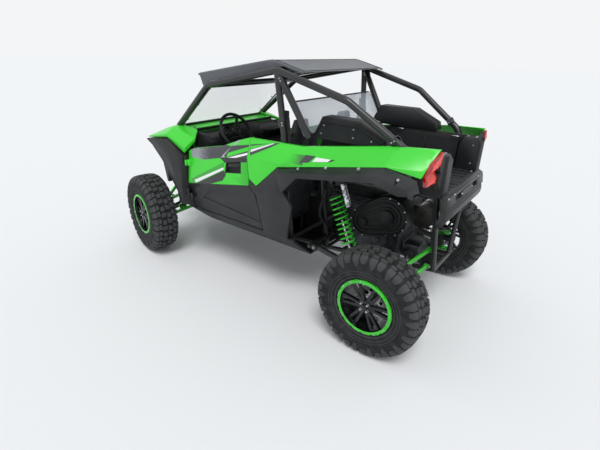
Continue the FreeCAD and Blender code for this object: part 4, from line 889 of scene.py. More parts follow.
def decals(name, node, slot_name, prints, lift=0.0006, lowest=0.25):
    """Film on a side piece: each print is convex corners in (x, z) with its material."""
    side = -1 if node.endswith("right") else 1
    whole = bmesh.new()
    materials = []
    for layer, (corners, material) in enumerate(prints):
        part = bmesh.new()
        part.from_mesh(bpy.data.objects[node + "_piece"].data)
        bmesh.ops.delete(part, geom=[f for f in part.faces if f.normal.y * side < lowest], context="FACES")
        middle = sum((Vector((x, 0, z)) for x, z in corners), Vector()) / len(corners)
        for (x0, z0), (x1, z1) in zip(corners, corners[1:] + corners[:1]):
            across = Vector((z1 - z0, 0, x0 - x1))
            start = Vector((x0, 0, z0))
            if across.dot(start - middle) < 0:
                across = -across
            bmesh.ops.bisect_plane(part, geom=part.verts[:] + part.edges[:] + part.faces[:], plane_co=start,
                                   plane_no=across, clear_outer=True)
        part.normal_update()
        for vertex in part.verts:
            vertex.co += vertex.normal * (lift + 0.0003 * layer)
        if material not in materials:
            materials.append(material)
        for face in part.faces:
            face.material_index = materials.index(material)
        bit = bpy.data.meshes.new("print")
        part.to_mesh(bit)
        part.free()
        whole.from_mesh(bit)
    made = bpy.data.meshes.new(name)
    whole.to_mesh(made)
    whole.free()
    for material in materials:
        made.materials.append(material)
    kept(linked(name, made), frame["nodes"][node]["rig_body"], slot_name)


DOOR_PRINTS = [
    ([(0.600, 1.090), (0.440, 1.092), (0.205, 1.149), (0.120, 1.250), (0.300, 1.262), (0.600, 1.200)],
     film_dark),
    ([(0.052, 1.322), (0.034, 1.318), (0.196, 1.150), (0.232, 1.144)], film_grey),
    ([(0.120, 1.256), (-0.105, 1.300), (-0.105, 1.187), (0.148, 1.143), (0.190, 1.168)], film_dark),
    ([(0.150, 1.196), (-0.105, 1.292), (-0.105, 1.262), (0.160, 1.160)], green_panel),
    ([(0.170, 1.152), (0.141, 1.143), (-0.105, 1.229), (-0.105, 1.246)], film_white),
    ([(0.600, 0.896), (0.600, 0.846), (0.187, 1.062), (0.190, 1.112)], film_green),
    ([(0.560, 0.890), (0.534, 0.872), (0.186, 1.054), (0.188, 1.073)], film_white),
    ([(0.534, 0.866), (0.186, 1.046), (0.154, 1.020), (0.194, 0.961), (0.351, 0.900)], film_black),
    ([(0.240, 1.146), (-0.105, 1.196), (-0.105, 1.168), (0.176, 1.113)], film_black),
]
QUARTER_PRINTS = [
    ([(-0.075, 1.296), (-0.372, 1.349), (-0.270, 1.300), (-0.095, 1.209)], film_dark),
    ([(-0.080, 1.284), (-0.300, 1.338), (-0.250, 1.320), (-0.085, 1.262)], green_panel),
    ([(-0.090, 1.259), (-0.095, 1.242), (-0.312, 1.336), (-0.290, 1.333)], film_white),
    ([(-0.606, 1.302), (-0.690, 1.306), (-0.650, 1.259), (-0.572, 1.244)], film_dark),
    ([(-0.698, 1.299), (-0.822, 1.304), (-0.800, 1.287), (-0.677, 1.268)], film_white),
    ([(-0.822, 1.305), (-0.852, 1.307), (-0.818, 1.290), (-0.800, 1.287)], film_black),
]
for side in ("left", "right"):
    decals("door_graphics_" + side, "door_skin_" + side, "dark_body", DOOR_PRINTS)
    decals("quarter_graphics_" + side, "quarter_panel_" + side, "dark_body", QUARTER_PRINTS)


def staggered(low, high, step, rise):
    """Places in rows between two (x, z) corners, every second row half a step along."""
    row = 0
    z = low[1]
    while z < high[1]:
        x = low[0] + (step / 2 if row % 2 else 0)
        while x < high[0]:
            yield x, z
            x += step
        z += rise
        row += 1


def honeycomb(name, node, low, high, step, fade, material):
    """Small hexagons printed in rows over a box of (x, z), shrinking along fade(x, z)."""
    side = -1 if node.endswith("right") else 1

    def build(shape):
        for x, z in staggered(low, high, step, step * 0.866):
            size = fade(x, z) * step * 0.5
            spot, normal = beside(node, side, x, z)
            if spot and size > 0.0012 and normal.y * side > 0.3:
                level = normal.cross(Vector((0, 0, 1))).normalized()
                upright = level.cross(normal).normalized()
                ring = []
                for k in range(6):
                    angle = math.pi / 3 * k + math.pi / 6
                    offset = (level * math.cos(angle) + upright * math.sin(angle)) * size
                    ring.append(shape.verts.new(spot + offset + normal * 0.0010))
                made = shape.faces.new(ring)
                made.normal_update()
                if made.normal.dot(normal) < 0:
                    made.normal_flip()
    fitted(name, build, material, "dark_body", None, frame["nodes"][node]["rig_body"])


def fade_low(x, z):
    """Smaller towards the front, and none under the handle's pocket."""
    if z > 1.03 and -0.012 < x < 0.165:
        return 0
    return max(0.15, min(0.85, (0.16 - x) / 0.3))


for side in ("left", "right"):
    honeycomb("quarter_honeycomb_" + side, "quarter_panel_" + side, (-0.600, 1.236), (-0.462, 1.300), 0.011,
              lambda x, z: max(0, min(0.95, (-0.455 - x) / 0.13)), film_dark)
    honeycomb("door_honeycomb_low_" + side, "door_skin_" + side, (-0.095, 0.985), (0.150, 1.160), 0.010,
              fade_low, film_green)
    honeycomb("door_honeycomb_front_" + side, "door_skin_" + side, (0.33, 1.095), (0.60, 1.200), 0.013,
              lambda x, z: max(0, min(0.95, (x - 0.32) / 0.2)), film_grey)


# Door handles: a black paddle in a moulded pocket in each door skin, with
# its pivot pin at the front edge.
for side, way in (("left", 1), ("right", -1)):
    decals("handle_pocket_" + side, "door_skin_" + side, "black_plastic",
           [([(0.172, 1.030), (0.164, 1.128), (-0.004, 1.160), (-0.016, 1.060)], black_plastic)], 0.0004,
           -0.3)
    floor_spot = beside("door_skin_" + side, way, 0.07, 1.10)[0]

    def paddle(shape):
        """A lever bent outwards from its pin, thick at the finger edge."""
        profile = [(0.0, 0.002), (0.0, 0.008), (0.006, 0.013), (0.026, 0.018), (0.032, 0.016),
                   (0.033, 0.010), (0.024, 0.008), (0.010, 0.004)]
        rows = []
        for x in (0.142, 0.136, 0.016, 0.010):
            drop = 0.0 if 0.012 < x < 0.14 else 0.0025
            row = []
            for down, rise in profile:
                out = 0.002 + (rise - drop if rise > 0.009 else rise)
                row.append(shape.verts.new((x, floor_spot.y + way * out, 1.128 - (x - 0.07) * 0.17 - down)))
            rows.append(row)
        skin_rings(shape, rows)

    fitted("door_paddle_" + side, paddle, black_plastic, "black_plastic", 30, "door_" + side)


# Hood vents: black moulded louvres in two rows ahead of the screen, and
# quarter-turn fasteners along the hood's edges.

def hood_vents(shape):
    """Nine louvres on each side, each tilted on the hood's own slope."""
    for side in (1, -1):
        for k in range(9):
            x = 0.955 + 0.022 * k
            spot, normal = placed_on("hood", (x, side * 0.26, 2), (0, 0, -1))
            if not spot:
                continue
            centre = spot + normal * 0.003
            reach = Vector((0.006, 0.11 - 0.003 * k, 0.002))
            tilt = Vector((0, 0, 1)).rotation_difference(normal).to_matrix() @ Matrix.Rotation(0.35, 3, "Y")
            pad_block(shape, centre - reach, centre + reach, tilt, centre)
    rounded(shape, 0.0012)


fitted("hood_vents", hood_vents, black_plastic, "black_plastic")
hood_spots = []
for side in (1, -1):
    for x, y in ((0.80, 0.49), (1.00, 0.46), (1.18, 0.41), (1.36, 0.34)):
        spot, normal = placed_on("hood", (x, side * y, 2), (0, 0, -1))
        if spot:
            hood_spots.append((spot, normal))
bolts("hood_fasteners", hood_spots, 0.010, black_bolt, 16)


# Cargo bed: one ribbed tub of black polyethylene, screwed to the rear frame,
# with corner posts that take the feet of the cage's braces.
eased("cargo_bed", black_plastic, "black_plastic", 0.004)


def bed_panels(shape):
    """Stiffening panels raised on the bed's walls, and ribs across its floor's lands."""
    for side in (1, -1):
        for x0, x1 in ((-1.335, -1.080), (-1.050, -0.790)):
            pad_block(shape, (x0, side * 0.3965 - 0.0045, 1.185), (x1, side * 0.3965 + 0.0045, 1.365))
            pad_block(shape, (x0 + 0.035, side * 0.3935 - 0.0045, 1.215),
                      (x1 - 0.035, side * 0.3935 + 0.0045, 1.335))
    for y0, y1 in ((-0.370, -0.130), (-0.110, 0.110), (0.130, 0.370)):
        pad_block(shape, (-0.7675, y0, 1.180), (-0.7585, y1, 1.365))
    for k in range(14):
        for y in (-0.340, -0.263, -0.183, -0.103, 0.103, 0.183, 0.263, 0.340):
            pad_block(shape, (-1.500 + 0.050 * k, y - 0.022, 1.1455),
                      (-1.478 + 0.050 * k, y + 0.022, 1.1485))
    rounded(shape, 0.0025)


fitted("bed_panels", bed_panels, black_plastic, "black_plastic")
bed_spots = []
for side in (1, -1):
    for x, y in ((-1.478, 0.345), (-1.478, 0.380), (-1.415, 0.362)):
        bed_spots.append(((x, side * y, 1.400), (0, 0, 1)))
    for x, z in ((-1.470, 1.20), (-1.470, 1.34)):
        bed_spots.append(((x, side * 0.325, z), (0, -side, 0)))
    for x in (-1.50, -1.10, -0.82):
        bed_spots.append(((x, side * 0.300, 1.1485), (0, 0, 1)))
bolts("bed_bolts", bed_spots, 0.008, zinc)


def tie_downs(shape):
    """Bent wire loops on the bed's corners for cargo straps."""
    for side in (1, -1):
        for x in (-1.31, -0.84):
            tube_along(shape, [(x - 0.030, side * 0.3985, 1.380), (x - 0.026, side * 0.380, 1.384),
                               (x, side * 0.374, 1.386), (x + 0.026, side * 0.380, 1.384),
                               (x + 0.030, side * 0.3985, 1.380)], 0.004, 10, 5)


fitted("tie_downs", tie_downs, zinc, "cast_metal")


# Intake boxes: one black moulded box each side behind the cab, with a sunk
# perforated screen in its outer face held by four screws.
eased("intake_boxes", black_plastic, "black_plastic", 0.005)
screen_mesh = moulded("perforated_screen", "#24292a", "#32383a", 0.6, 0.0032, 0.0016, 0.3)
box_spots = []
for side in (1, -1):
    for x, z in ((-0.640, 1.440), (-0.900, 1.444), (-0.660, 1.500), (-0.900, 1.500), (-1.040, 1.440)):
        spot, normal = beside("intake_boxes", side, x, z)
        if spot:
            box_spots.append((spot, (0, side, 0)))
bolts("intake_box_screws", box_spots, 0.0055, zinc)


def intake_screens(shape):
    """A field of small raised cells over each sunk panel."""
    for side in (1, -1):
        deepest = beside("intake_boxes", side, -0.85, 1.47)[0]
        for x, z in staggered((-1.14, 1.418), (-0.58, 1.535), 0.012, 0.0104):
            spot, normal = beside("intake_boxes", side, x, z)
            if spot and abs(spot.y - deepest.y) < 0.001:
                turned_head(shape, spot, (0, side, 0), [(0.0046, 0), (0.0046, 0.0012), (0.0030, 0.0020),
                                                        (0.0022, 0.0004), (0, 0.0004)], 6)


fitted("intake_screens", intake_screens, screen_mesh, "black_plastic")


# Air filter box: a black base under a grey sloped lid, both moulded in
# polypropylene and clipped together behind the cab.
lid_grey = moulded("grey_polypropylene", "#8d9294", "#7c8082", 0.45, 0.0015)
air_piece = linked("air_box_piece", merged_copy("air_box"))
air_piece.data.materials.append(black_plastic)
air_piece.data.materials.append(lid_grey)
round_edges(air_piece, 0.008, 3, 22)
for face in air_piece.data.polygons:
    face.material_index = 1 if face.normal.z > 0.25 and face.center.z > 1.3 else 0
air_piece.data.shade_smooth()
kept(air_piece, "root", "grey_case", "air_box")


def air_box_clips(shape):
    """Three over-centre clips and a seam bead along the lid's edge."""
    low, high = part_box("air_box")
    for y in (-0.22, 0.0, 0.22):
        pad_block(shape, (low.x - 0.004, y - 0.014, high.z - 0.16),
                  (low.x + 0.004, y + 0.014, high.z - 0.11))
        pad_block(shape, (low.x - 0.009, y - 0.010, high.z - 0.125),
                  (low.x + 0.002, y + 0.010, high.z - 0.113))
    rounded(shape, 0.002)


fitted("air_box_clips", air_box_clips, zinc, "cast_metal")


# Rear fascia: a plain plate screwed between the pockets, and screws at the
# ends of the lip.

def fascia_plate(shape):
    """The plate, laid on the fascia's own slope."""
    spot, normal = placed_on("rear_bumper", (-2, 0, 1.090), (1, 0, 0))
    turn = Vector((-1, 0, 0)).rotation_difference(normal).to_matrix()
    pad_block(shape, spot - Vector((0.003, 0.105, 0.022)), spot + Vector((0.003, 0.105, 0.022)), turn, spot)
    rounded(shape, 0.0018)


fitted("fascia_plate", fascia_plate, charcoal, "dark_body")
rear_spots = []
for y in (-0.40, -0.28, -0.115, 0.115, 0.28, 0.40):
    rear_spots.append(placed_on("rear_bumper", (-2, y, 1.125 if abs(y) > 0.2 else 1.090), (1, 0, 0)))
bolts("fascia_screws", rear_spots, 0.0075, zinc)


# Tail lamps: red acrylic lenses over rows of light-emitting diodes, each in a
# black bezel at the bed's corner.
red_lens = made_of("red_acrylic", {"Roughness": 0.10, "Coat Weight": 1.0, "Coat Roughness": 0.03,
                                   "Emission Color": linear("#ff1408"), "Emission Strength": 0.05},
                   "#b3100d", "#7d0806", 0.01, 0.006, 0.0004, 0.25)
glowing = made_of("red_diode", {"Roughness": 0.15, "Emission Color": linear("#ff3a20"),
                                "Emission Strength": 0.3},
                  "#f0402c", "#d8281a", 0.004)
eased("tail_lamps", red_lens, "red_lens", 0.006, 3)


def diodes(shape):
    """Domed dots in rows behind each lamp's lens."""
    for side in (1, -1):
        for row in range(22):
            for column in range(12):
                y = side * (0.497 + 0.0095 * column + (0.0047 if row % 2 else 0))
                z = 1.245 + 0.0093 * row
                spot, normal = placed_on("tail_lamps", (-2, y, z), (1, 0, 0))
                if spot and normal.x < -0.4:
                    turned_head(shape, spot, normal, [(0.0034, -0.001), (0.0032, 0.0006), (0.0022, 0.0015),
                                                      (0, 0.002)], 8)


fitted("diodes", diodes, glowing, "red_lens", 60)


def lamp_bezels(shape):
    """A black facetted cheek between each lamp and the bed's wall."""
    for side in (1, -1):
        outline = [(0.4255, 1.398), (0.4885, 1.428), (0.4885, 1.320), (0.470, 1.300), (0.4885, 1.280),
                   (0.4885, 1.236), (0.4255, 1.160)]
        front = [shape.verts.new((-1.470, side * y, z)) for y, z in outline]
        back = [shape.verts.new((-1.500 - 0.012 * (0.4885 - y) / 0.063, side * y, z)) for y, z in outline]
        skin_rings(shape, [front, back])
    bmesh.ops.recalc_face_normals(shape, faces=shape.faces)
    rounded(shape, 0.003)


fitted("lamp_bezels", lamp_bezels, black_plastic, "black_plastic", 30)


# Headlamps: sealed units in the nose, each a smoked polycarbonate lens over
# three bright projector bowls.
lamp_lens = made_of("smoked_lamp_lens", {"Roughness": 0.06, "Coat Weight": 1.0, "Coat Roughness": 0.02,
                                         "Specular IOR Level": 0.6},
                    "#16191c", "#22262a", 0.02, 0.004, 0.0003, 0.15)
eased("headlamps", lamp_lens, "lamp_lens", 0.004)
pearl = made_of("frosted_projector_glass", {"Roughness": 0.12, "Coat Weight": 0.6},
                "#dfe6ea", "#b9c4cb", 0.004)


def projectors(shape, profile):
    """A turned form on the lens's front face at each projector's place."""
    for side in (1, -1):
        for y in (0.10, 0.165, 0.235):
            spot, normal = placed_on("headlamps", (2.5, side * y, 0.918), (-1, 0, 0))
            if spot:
                turned_head(shape, spot, normal, profile, 28)


def reflectors(shape):
    """A bright bowl with a raised rim at each place."""
    projectors(shape, [(0.026, -0.001), (0.026, 0.003), (0.0235, 0.0042), (0.020, 0.0030),
                       (0.0165, 0.0006)])


def projector_glass(shape):
    """A domed lens in each bowl."""
    projectors(shape, [(0.0165, 0.0004), (0.0155, 0.0026), (0.012, 0.0042), (0.006, 0.0050), (0, 0.0052)])


fitted("reflectors", reflectors, chrome, "lamp_lens")
fitted("projector_glass", projector_glass, pearl, "lamp_lens")


# Dashboard and console: one grained black moulding each, with a soft matt
# face, a switch row, a round gauge and a grab bar screwed on.
cab_plastic = moulded("soft_black_moulding", "#16171a", "#222325", 0.6, 0.0013, 0.0003, 0.35)
eased("dashboard", cab_plastic, "black_plastic", 0.006, 3)
eased("console", cab_plastic, "black_plastic", 0.008, 3)
gauge_black = made_of("gauge_face", {"Roughness": 0.25, "Coat Weight": 1.0, "Coat Roughness": 0.02},
                      "#0b0c0d", "#111314", 0.01, 0.002, 0.0001, 0.2)
face_centre = Vector((0.512, 0.350, 1.282))
face_way = Vector((-0.072, 0, 0.045)).normalized()


def gauge_face(shape):
    """The dial, a disc with a turned-down edge."""
    turned_head(shape, face_centre, face_way, [(0, 0.0006), (0.039, 0.0006), (0.040, -0.001)], 48)


def gauge_rim(shape):
    """The rounded rim that stands round the dial."""
    turned_head(shape, face_centre, face_way, [(0.0385, 0.0), (0.0395, 0.005), (0.042, 0.007),
                                               (0.0455, 0.006), (0.047, 0.002), (0.047, -0.006),
                                               (0.045, -0.008)], 48)


def gauge_marks(shape):
    """Raised ticks round the dial and a pointer."""
    level = Vector((0, 1, 0))
    upright = face_way.cross(level)
    for k in range(27):
        angle = math.radians(-210 + 240 / 26 * k)
        out = level * math.cos(angle) - upright * math.sin(angle)
        along = level * math.sin(angle) + upright * math.cos(angle)
        long = 0.007 if k % 2 == 0 else 0.0035
        ring = []
        for reach, offset in ((0.036, 0.0006), (0.036, -0.0006), (0.036 - long, -0.0006),
                              (0.036 - long, 0.0006)):
            ring.append(shape.verts.new(face_centre + face_way * 0.0011 + out * reach + along * offset))
        shape.faces.new(ring)
    ring = [shape.verts.new(face_centre + face_way * 0.0014 + level * a + upright * b)
            for a, b in ((-0.001, 0), (0.026, 0.018), (0.027, 0.0165), (0.001, -0.001))]
    shape.faces.new(ring)


fitted("gauge_face", gauge_face, gauge_black, "black_plastic")
fitted("gauge_rim", gauge_rim, cab_plastic, "black_plastic")
fitted("gauge_marks", gauge_marks, film_white, "black_plastic", None)


def dash_switches(shape):
    """Seven rocker switches in a row over the console, and two round outlets."""
    for k in range(7):
        spot, normal = placed_on("dashboard", (0.3, 0.105 - 0.035 * k, 1.150), (1, 0, 0))
        turn = Vector((-1, 0, 0)).rotation_difference(normal).to_matrix()
        pad_block(shape, spot - Vector((0.003, 0.013, 0.018)), spot + Vector((0.003, 0.013, 0.018)), turn,
                  spot)
        tilt = turn @ Matrix.Rotation(0.16 if k % 2 else -0.16, 3, "Y")
        pad_block(shape, spot - Vector((0.007, 0.010, 0.015)), spot + Vector((0.001, 0.010, 0.015)), tilt,
                  spot)
    rounded(shape, 0.0015)
    for y in (0.20, -0.135):
        spot, normal = placed_on("dashboard", (0.3, y, 1.15), (1, 0, 0))
        turned_head(shape, spot, normal, [(0.019, 0), (0.019, 0.004), (0.016, 0.006), (0.014, 0.004),
                                          (0.004, 0.004), (0, 0.006)], 28)


fitted("dash_switches", dash_switches, black_plastic, "black_plastic")


def grab_bar(shape):
    """The passenger's bar across the dash, bent from tube with flattened ends."""
    tube_along(shape, [(0.560, -0.470, 1.205), (0.512, -0.455, 1.213), (0.492, -0.42, 1.216),
                       (0.490, -0.33, 1.216), (0.492, -0.25, 1.216), (0.512, -0.215, 1.213),
                       (0.560, -0.20, 1.205)], 0.0125, 16, 8)


grip = moulded("soft_grip", "#17181a", "#232425", 0.62, 0.0012, 0.0004, 0.35)
fitted("grab_bar", grab_bar, grip, "grip")


def shifter(shape):
    """Gear lever with a turned knob and its gate plate on the console."""
    spot, normal = placed_on("console", (0.27, 0.0, 1.2), (0, 0, -1))
    pad_block(shape, spot - Vector((0.075, 0.035, 0.003)), spot + Vector((0.075, 0.035, 0.004)),
              Vector((0, 0, 1)).rotation_difference(normal).to_matrix(), spot)
    rounded(shape, 0.002)
    tube_along(shape, [spot, spot + Vector((0.012, 0, 0.06)), spot + Vector((0.010, 0, 0.11)),
                       spot + Vector((-0.005, 0, 0.15))], 0.0065, 12, 6)
    turned_head(shape, spot + Vector((-0.004, 0, 0.145)), (-0.2, 0, 1),
                [(0.007, 0), (0.016, 0.006), (0.022, 0.020), (0.023, 0.034), (0.018, 0.046), (0.008, 0.052),
                 (0, 0.053)], 28)


fitted("shifter", shifter, black_plastic, "black_plastic")


def pedals(shape):
    """Brake and throttle pads with grip bars, on arms from the toe board."""
    for y, width in ((0.395, 0.065), (0.290, 0.045)):
        about = Vector((0.690, y, 0.640))
        lean = Matrix.Rotation(math.radians(-35), 3, "Y")
        pad_block(shape, about - Vector((0.004, width / 2, 0.045)),
                  about + Vector((0.004, width / 2, 0.045)), lean, about)
        for k in range(5):
            low = about + Vector((-0.008, -width / 2 + 0.004, -0.036 + 0.016 * k))
            pad_block(shape, low, low + Vector((0.006, width - 0.008, 0.006)), lean, about)
    rounded(shape, 0.0012)
    for y in (0.395, 0.290):
        tube_along(shape, [(0.694, y, 0.645), (0.720, y, 0.70), (0.735, y, 0.80), (0.745, y, 0.92)], 0.008,
                   12, 6)


fitted("pedals", pedals, black_bolt, "cast_metal")


# Steering wheel: polyurethane grip moulded over a steel hoop, with three
# spokes, stitched grip pads and a round boss.
eased("steering_wheel", grip, "grip", 0.003, 3)
wheel_joint = [j for j in frame["joints"] if j["child"] == "steering_wheel"][0]
wheel_way = Vector(wheel_joint["axis"]).normalized()
if wheel_way.x > 0:
    wheel_way = -wheel_way
wheel_centre = Vector((0.400, 0.350, 1.290))


def wheel_trim(shape):
    """Boss cap and rows of raised pads round the grip."""
    level = Vector((0, 1, 0))
    upright = wheel_way.cross(level)
    turned_head(shape, wheel_centre + wheel_way * 0.014, wheel_way,
                [(0.034, -0.004), (0.034, 0.004), (0.028, 0.010), (0.012, 0.012), (0, 0.012)], 32)
    for k in range(48):
        if k % 12 in (0, 1, 11):
            continue
        angle = 2 * math.pi * k / 48
        out = level * math.cos(angle) + upright * math.sin(angle)
        turned_head(shape, wheel_centre + out * 0.165 + wheel_way * 0.0132, wheel_way,
                    [(0.006, -0.002), (0.006, 0.001), (0.004, 0.0022), (0, 0.0026)], 8)


fitted("wheel_trim", wheel_trim, black_plastic, "black_plastic", 40, "steering_wheel")


# Seat belts: woven black polyester webbing, 48 mm wide, parked from the loop
# on each B-post down to the anchor beside the seat, with a buckle inboard.
webbing = made_of("polyester_webbing", {"Roughness": 0.75, "Sheen Weight": 0.4}, "#17181a", "#222325", 0.05)
tree = webbing.node_tree
place = add(tree, "ShaderNodeTexCoord").outputs["Object"]
twill = add(tree, "ShaderNodeTexWave", {"Vector": place, "Scale": 380.0, "Distortion": 0.6},
            bands_direction="DIAGONAL")
bump = add(tree, "ShaderNodeBump", {"Height": twill.outputs["Fac"], "Distance": 0.0004, "Strength": 0.6})
tree.links.new(bump.outputs["Normal"], tree.nodes["Principled BSDF"].inputs["Normal"])


def ribbon(shape, points, across, width=0.048, thick=0.0014, steps=8):
    """A flat strap through points; across is the strap's width direction."""
    rings = []
    for spot, way in headings(smooth_line(points, steps)):
        wide = (Vector(across) - way * way.dot(Vector(across))).normalized()
        flat = way.cross(wide)
        rings.append([shape.verts.new(spot + wide * a * width / 2 + flat * b * thick / 2)
                      for a, b in ((1, 0.4), (0.96, 1), (-0.96, 1), (-1, 0.4), (-1, -0.4), (-0.96, -1),
                                   (0.96, -1), (1, -0.4))])
    skin_rings(shape, rings)


def belts(shape):
    """Each belt's front run from loop to anchor and its back run into the retractor."""
    for side in (1, -1):
        ribbon(shape, [(-0.345, side * 0.575, 1.545), (-0.325, side * 0.572, 1.40),
                       (-0.310, side * 0.570, 1.20), (-0.300, side * 0.570, 0.95),
                       (-0.285, side * 0.572, 0.66)], (1, 0, 0.05))
        ribbon(shape, [(-0.345, side * 0.575, 1.545), (-0.362, side * 0.574, 1.50),
                       (-0.372, side * 0.573, 1.35), (-0.376, side * 0.573, 1.16)], (1, 0, 0.05))


def belt_fittings(shape):
    """Slotted loop on the post, retractor, sewn tongue, floor anchor and inboard buckle."""
    for side in (1, -1):
        pad_block(shape, (-0.378, side * 0.575 - 0.006, 1.530), (-0.314, side * 0.575 + 0.006, 1.572))
        pad_block(shape, (-0.405, side * 0.570 - 0.022, 1.080), (-0.350, side * 0.570 + 0.022, 1.165))
        pad_block(shape, (-0.328, side * 0.5705 - 0.005, 1.000), (-0.276, side * 0.5705 + 0.005, 1.040))
        pad_block(shape, (-0.315, side * 0.572 - 0.004, 0.630), (-0.255, side * 0.572 + 0.004, 0.672))
        pad_block(shape, (-0.185, side * 0.0945 - 0.008, 0.760), (-0.150, side * 0.0945 + 0.008, 0.850))
    rounded(shape, 0.003)


fitted("belts", belts, webbing, "seat_vinyl", 30)
fitted("belt_fittings", belt_fittings, black_plastic, "black_plastic")


# Seats: moulded foam on a steel pan under sewn black vinyl, blown out by its
# own pressure between the seams. Channels cross the middle panels.
vinyl = made_of("seat_vinyl", {"Roughness": 0.48, "Specular IOR Level": 0.45},
                "#222428", "#2f3135", 0.14, 0.0016, 0.0003, 0.5, "VORONOI")


FOAM_CELL = 0.011
SHRUNK = 0.007
PUFF_LIMIT = 0.012
PUFF_FRAMES = 20
SEAT_MIDDLE = 0.325
BACK_FOOT = 0.88
CHANNEL_DEPTH = 0.0065
CHANNEL_WIDTH = 0.0055
BACK_CHANNELS = (0.965, 1.045, 1.125, 1.205, 1.285)
BASE_CHANNELS = (-0.145, -0.065, 0.015, 0.095, 0.175)


def blown_seat():
    """The left seat's foam as a mesh: remeshed, puffed up, subdivided and quilted."""
    pad = linked("seat_foam", merged_copy("seat_left"))
    cells = pad.modifiers.new("cells", "REMESH")
    cells.mode = "VOXEL"
    cells.voxel_size = FOAM_CELL
    settle(pad)
    pad.data.shade_smooth()
    mesh = pad.data
    mesh.update()
    start = [vertex.co.copy() for vertex in mesh.vertices]
    for vertex in mesh.vertices:
        vertex.co -= vertex.normal * SHRUNK
    cloth = pad.modifiers.new("vinyl", "CLOTH")
    cloth.settings.use_pressure = True
    cloth.settings.uniform_pressure_force = 4.0
    cloth.settings.effector_weights.gravity = 0
    cloth.settings.quality = 3
    cloth.settings.tension_stiffness = 20
    cloth.settings.compression_stiffness = 20
    cloth.settings.bending_stiffness = 1.0
    cloth.collision_settings.use_collision = False
    cloth.point_cache.frame_start = 1
    cloth.point_cache.frame_end = PUFF_FRAMES
    scene = bpy.context.scene
    for number in range(1, PUFF_FRAMES + 1):
        scene.frame_set(number)
    shown = pad.evaluated_get(bpy.context.evaluated_depsgraph_get())
    moved = [vertex.co.copy() for vertex in shown.data.vertices]
    pad.modifiers.clear()
    for vertex, rest, place in zip(mesh.vertices, start, moved):
        shift = place - rest
        if shift.length > PUFF_LIMIT:
            shift = shift.normalized() * PUFF_LIMIT
        vertex.co = rest + shift
    scene.frame_set(1)
    smoothing = pad.modifiers.new("smoothing", "SMOOTH")
    smoothing.factor = 0.5
    smoothing.iterations = 4
    finer = pad.modifiers.new("finer", "SUBSURF")
    finer.levels = 1
    settle(pad)
    mesh = pad.data
    bpy.data.objects.remove(pad)
    mesh.update()
    quilted = []
    for vertex in mesh.vertices:
        place, normal = vertex.co, vertex.normal
        back = place.z > BACK_FOOT
        front = normal.x if back else normal.z
        sink = 0.0
        if front > 0.15:
            half_width = 0.118 if place.z < 1.33 else 0.065
            inside = abs(place.y - SEAT_MIDDLE)
            lines = [inside - half_width]
            if inside < half_width:
                stations = BACK_CHANNELS if back else BASE_CHANNELS
                lines += [(place.z if back else place.x) - station for station in stations]
            if back:
                lines.append(place.z - 1.345)
            pressed = max(math.exp(-(gap / CHANNEL_WIDTH) ** 2) for gap in lines)
            sink = pressed * min(1, (front - 0.15) * 4) * CHANNEL_DEPTH
        else:
            gap = abs(front - 0.05)
            sink = math.exp(-(gap / 0.10) ** 2) * 0.002
        quilted.append(place - normal * sink)
    for vertex, place in zip(mesh.vertices, quilted):
        vertex.co = place
    mesh.update()
    return mesh


seat_mesh = blown_seat()
seat_mesh.materials.clear()
seat_mesh.materials.append(vinyl)
seat_mesh.shade_smooth()
flipped = seat_mesh.copy()
flipped.transform(Matrix.Scale(-1, 4, (0, 1, 0)))
flipped.flip_normals()
for side, mesh in (("left", seat_mesh), ("right", flipped)):
    piece = linked("seat_cover_" + side, mesh)
    kept(piece, "root", "seat_vinyl", "seat_" + side)


def seat_rails(shape):
    """Steel runners and the slider bar under each seat."""
    for side in (1, -1):
        for y in (0.175, 0.475):
            pad_block(shape, (-0.235, side * y - 0.014, 0.602), (0.205, side * y + 0.014, 0.622))
            pad_block(shape, (-0.205, side * y - 0.020, 0.590), (0.180, side * y + 0.020, 0.602))
        tube_along(shape, [(0.225, side * 0.175, 0.615), (0.285, side * 0.19, 0.625),
                           (0.290, side * 0.325, 0.625), (0.285, side * 0.46, 0.625),
                           (0.225, side * 0.475, 0.615)], 0.006, 10, 6)
    rounded(shape, 0.001, 1)


fitted("seat_rails", seat_rails, black_bolt, "cast_metal")


# Soft top: one sheet of coated charcoal fabric, cut to shape and stretched
# over the roof tubes. Its side skirts are sewn down and its hems doubled.
top_cloth = made_of("coated_canvas", {"Roughness": 0.55, "Sheen Weight": 0.25}, "#4b4f55", "#585c61", 0.3,
                    1 / 900, 0.0003, 0.5, "VORONOI")

BACK_X = -0.512
RIDGE_X = -0.233
FRONT_X = 0.573
ROOF_LINE = [(BACK_X, 1.8445), (RIDGE_X, 1.9165), (FRONT_X, 1.7815)]
ROOF_HALF = 0.5975
TUBE_RADIUS = 0.025


def roof_height(x):
    """The taut roof line, eased over the ridge bow."""
    for (x0, z0), (x1, z1) in zip(ROOF_LINE, ROOF_LINE[1:]):
        if x <= x1 or x1 == FRONT_X:
            rise = z0 + (z1 - z0) * (x - x0) / (x1 - x0)
            break
    near = max(0, 1 - abs(x - RIDGE_X) / 0.06)
    return rise - 0.0065 * near * near


def skirt_depth(x):
    """How far the side skirt hangs below the roof line, down to the roof tube."""
    if x < -0.300:
        return 0.016
    if x < -0.262:
        return 0.020 + (x + 0.300) / 0.038 * 0.050
    if x < 0.457:
        tube_z = 1.694 + (0.457 - x) * 0.19974
        across = 0.0025 + (0.457 - x) * 0.03916
        lift = 1.02 * math.sqrt(max(0, TUBE_RADIUS ** 2 - across ** 2)) + 0.0025
        return roof_height(x) - tube_z - lift + 0.0022 * max(0, 1 - (0.457 - x) / 0.025)
    if x < 0.517:
        return 0.0813 + (x - 0.457) / 0.060 * 0.0327
    return max(0.016, 0.114 - (x - 0.517) / 0.040 * 0.098)


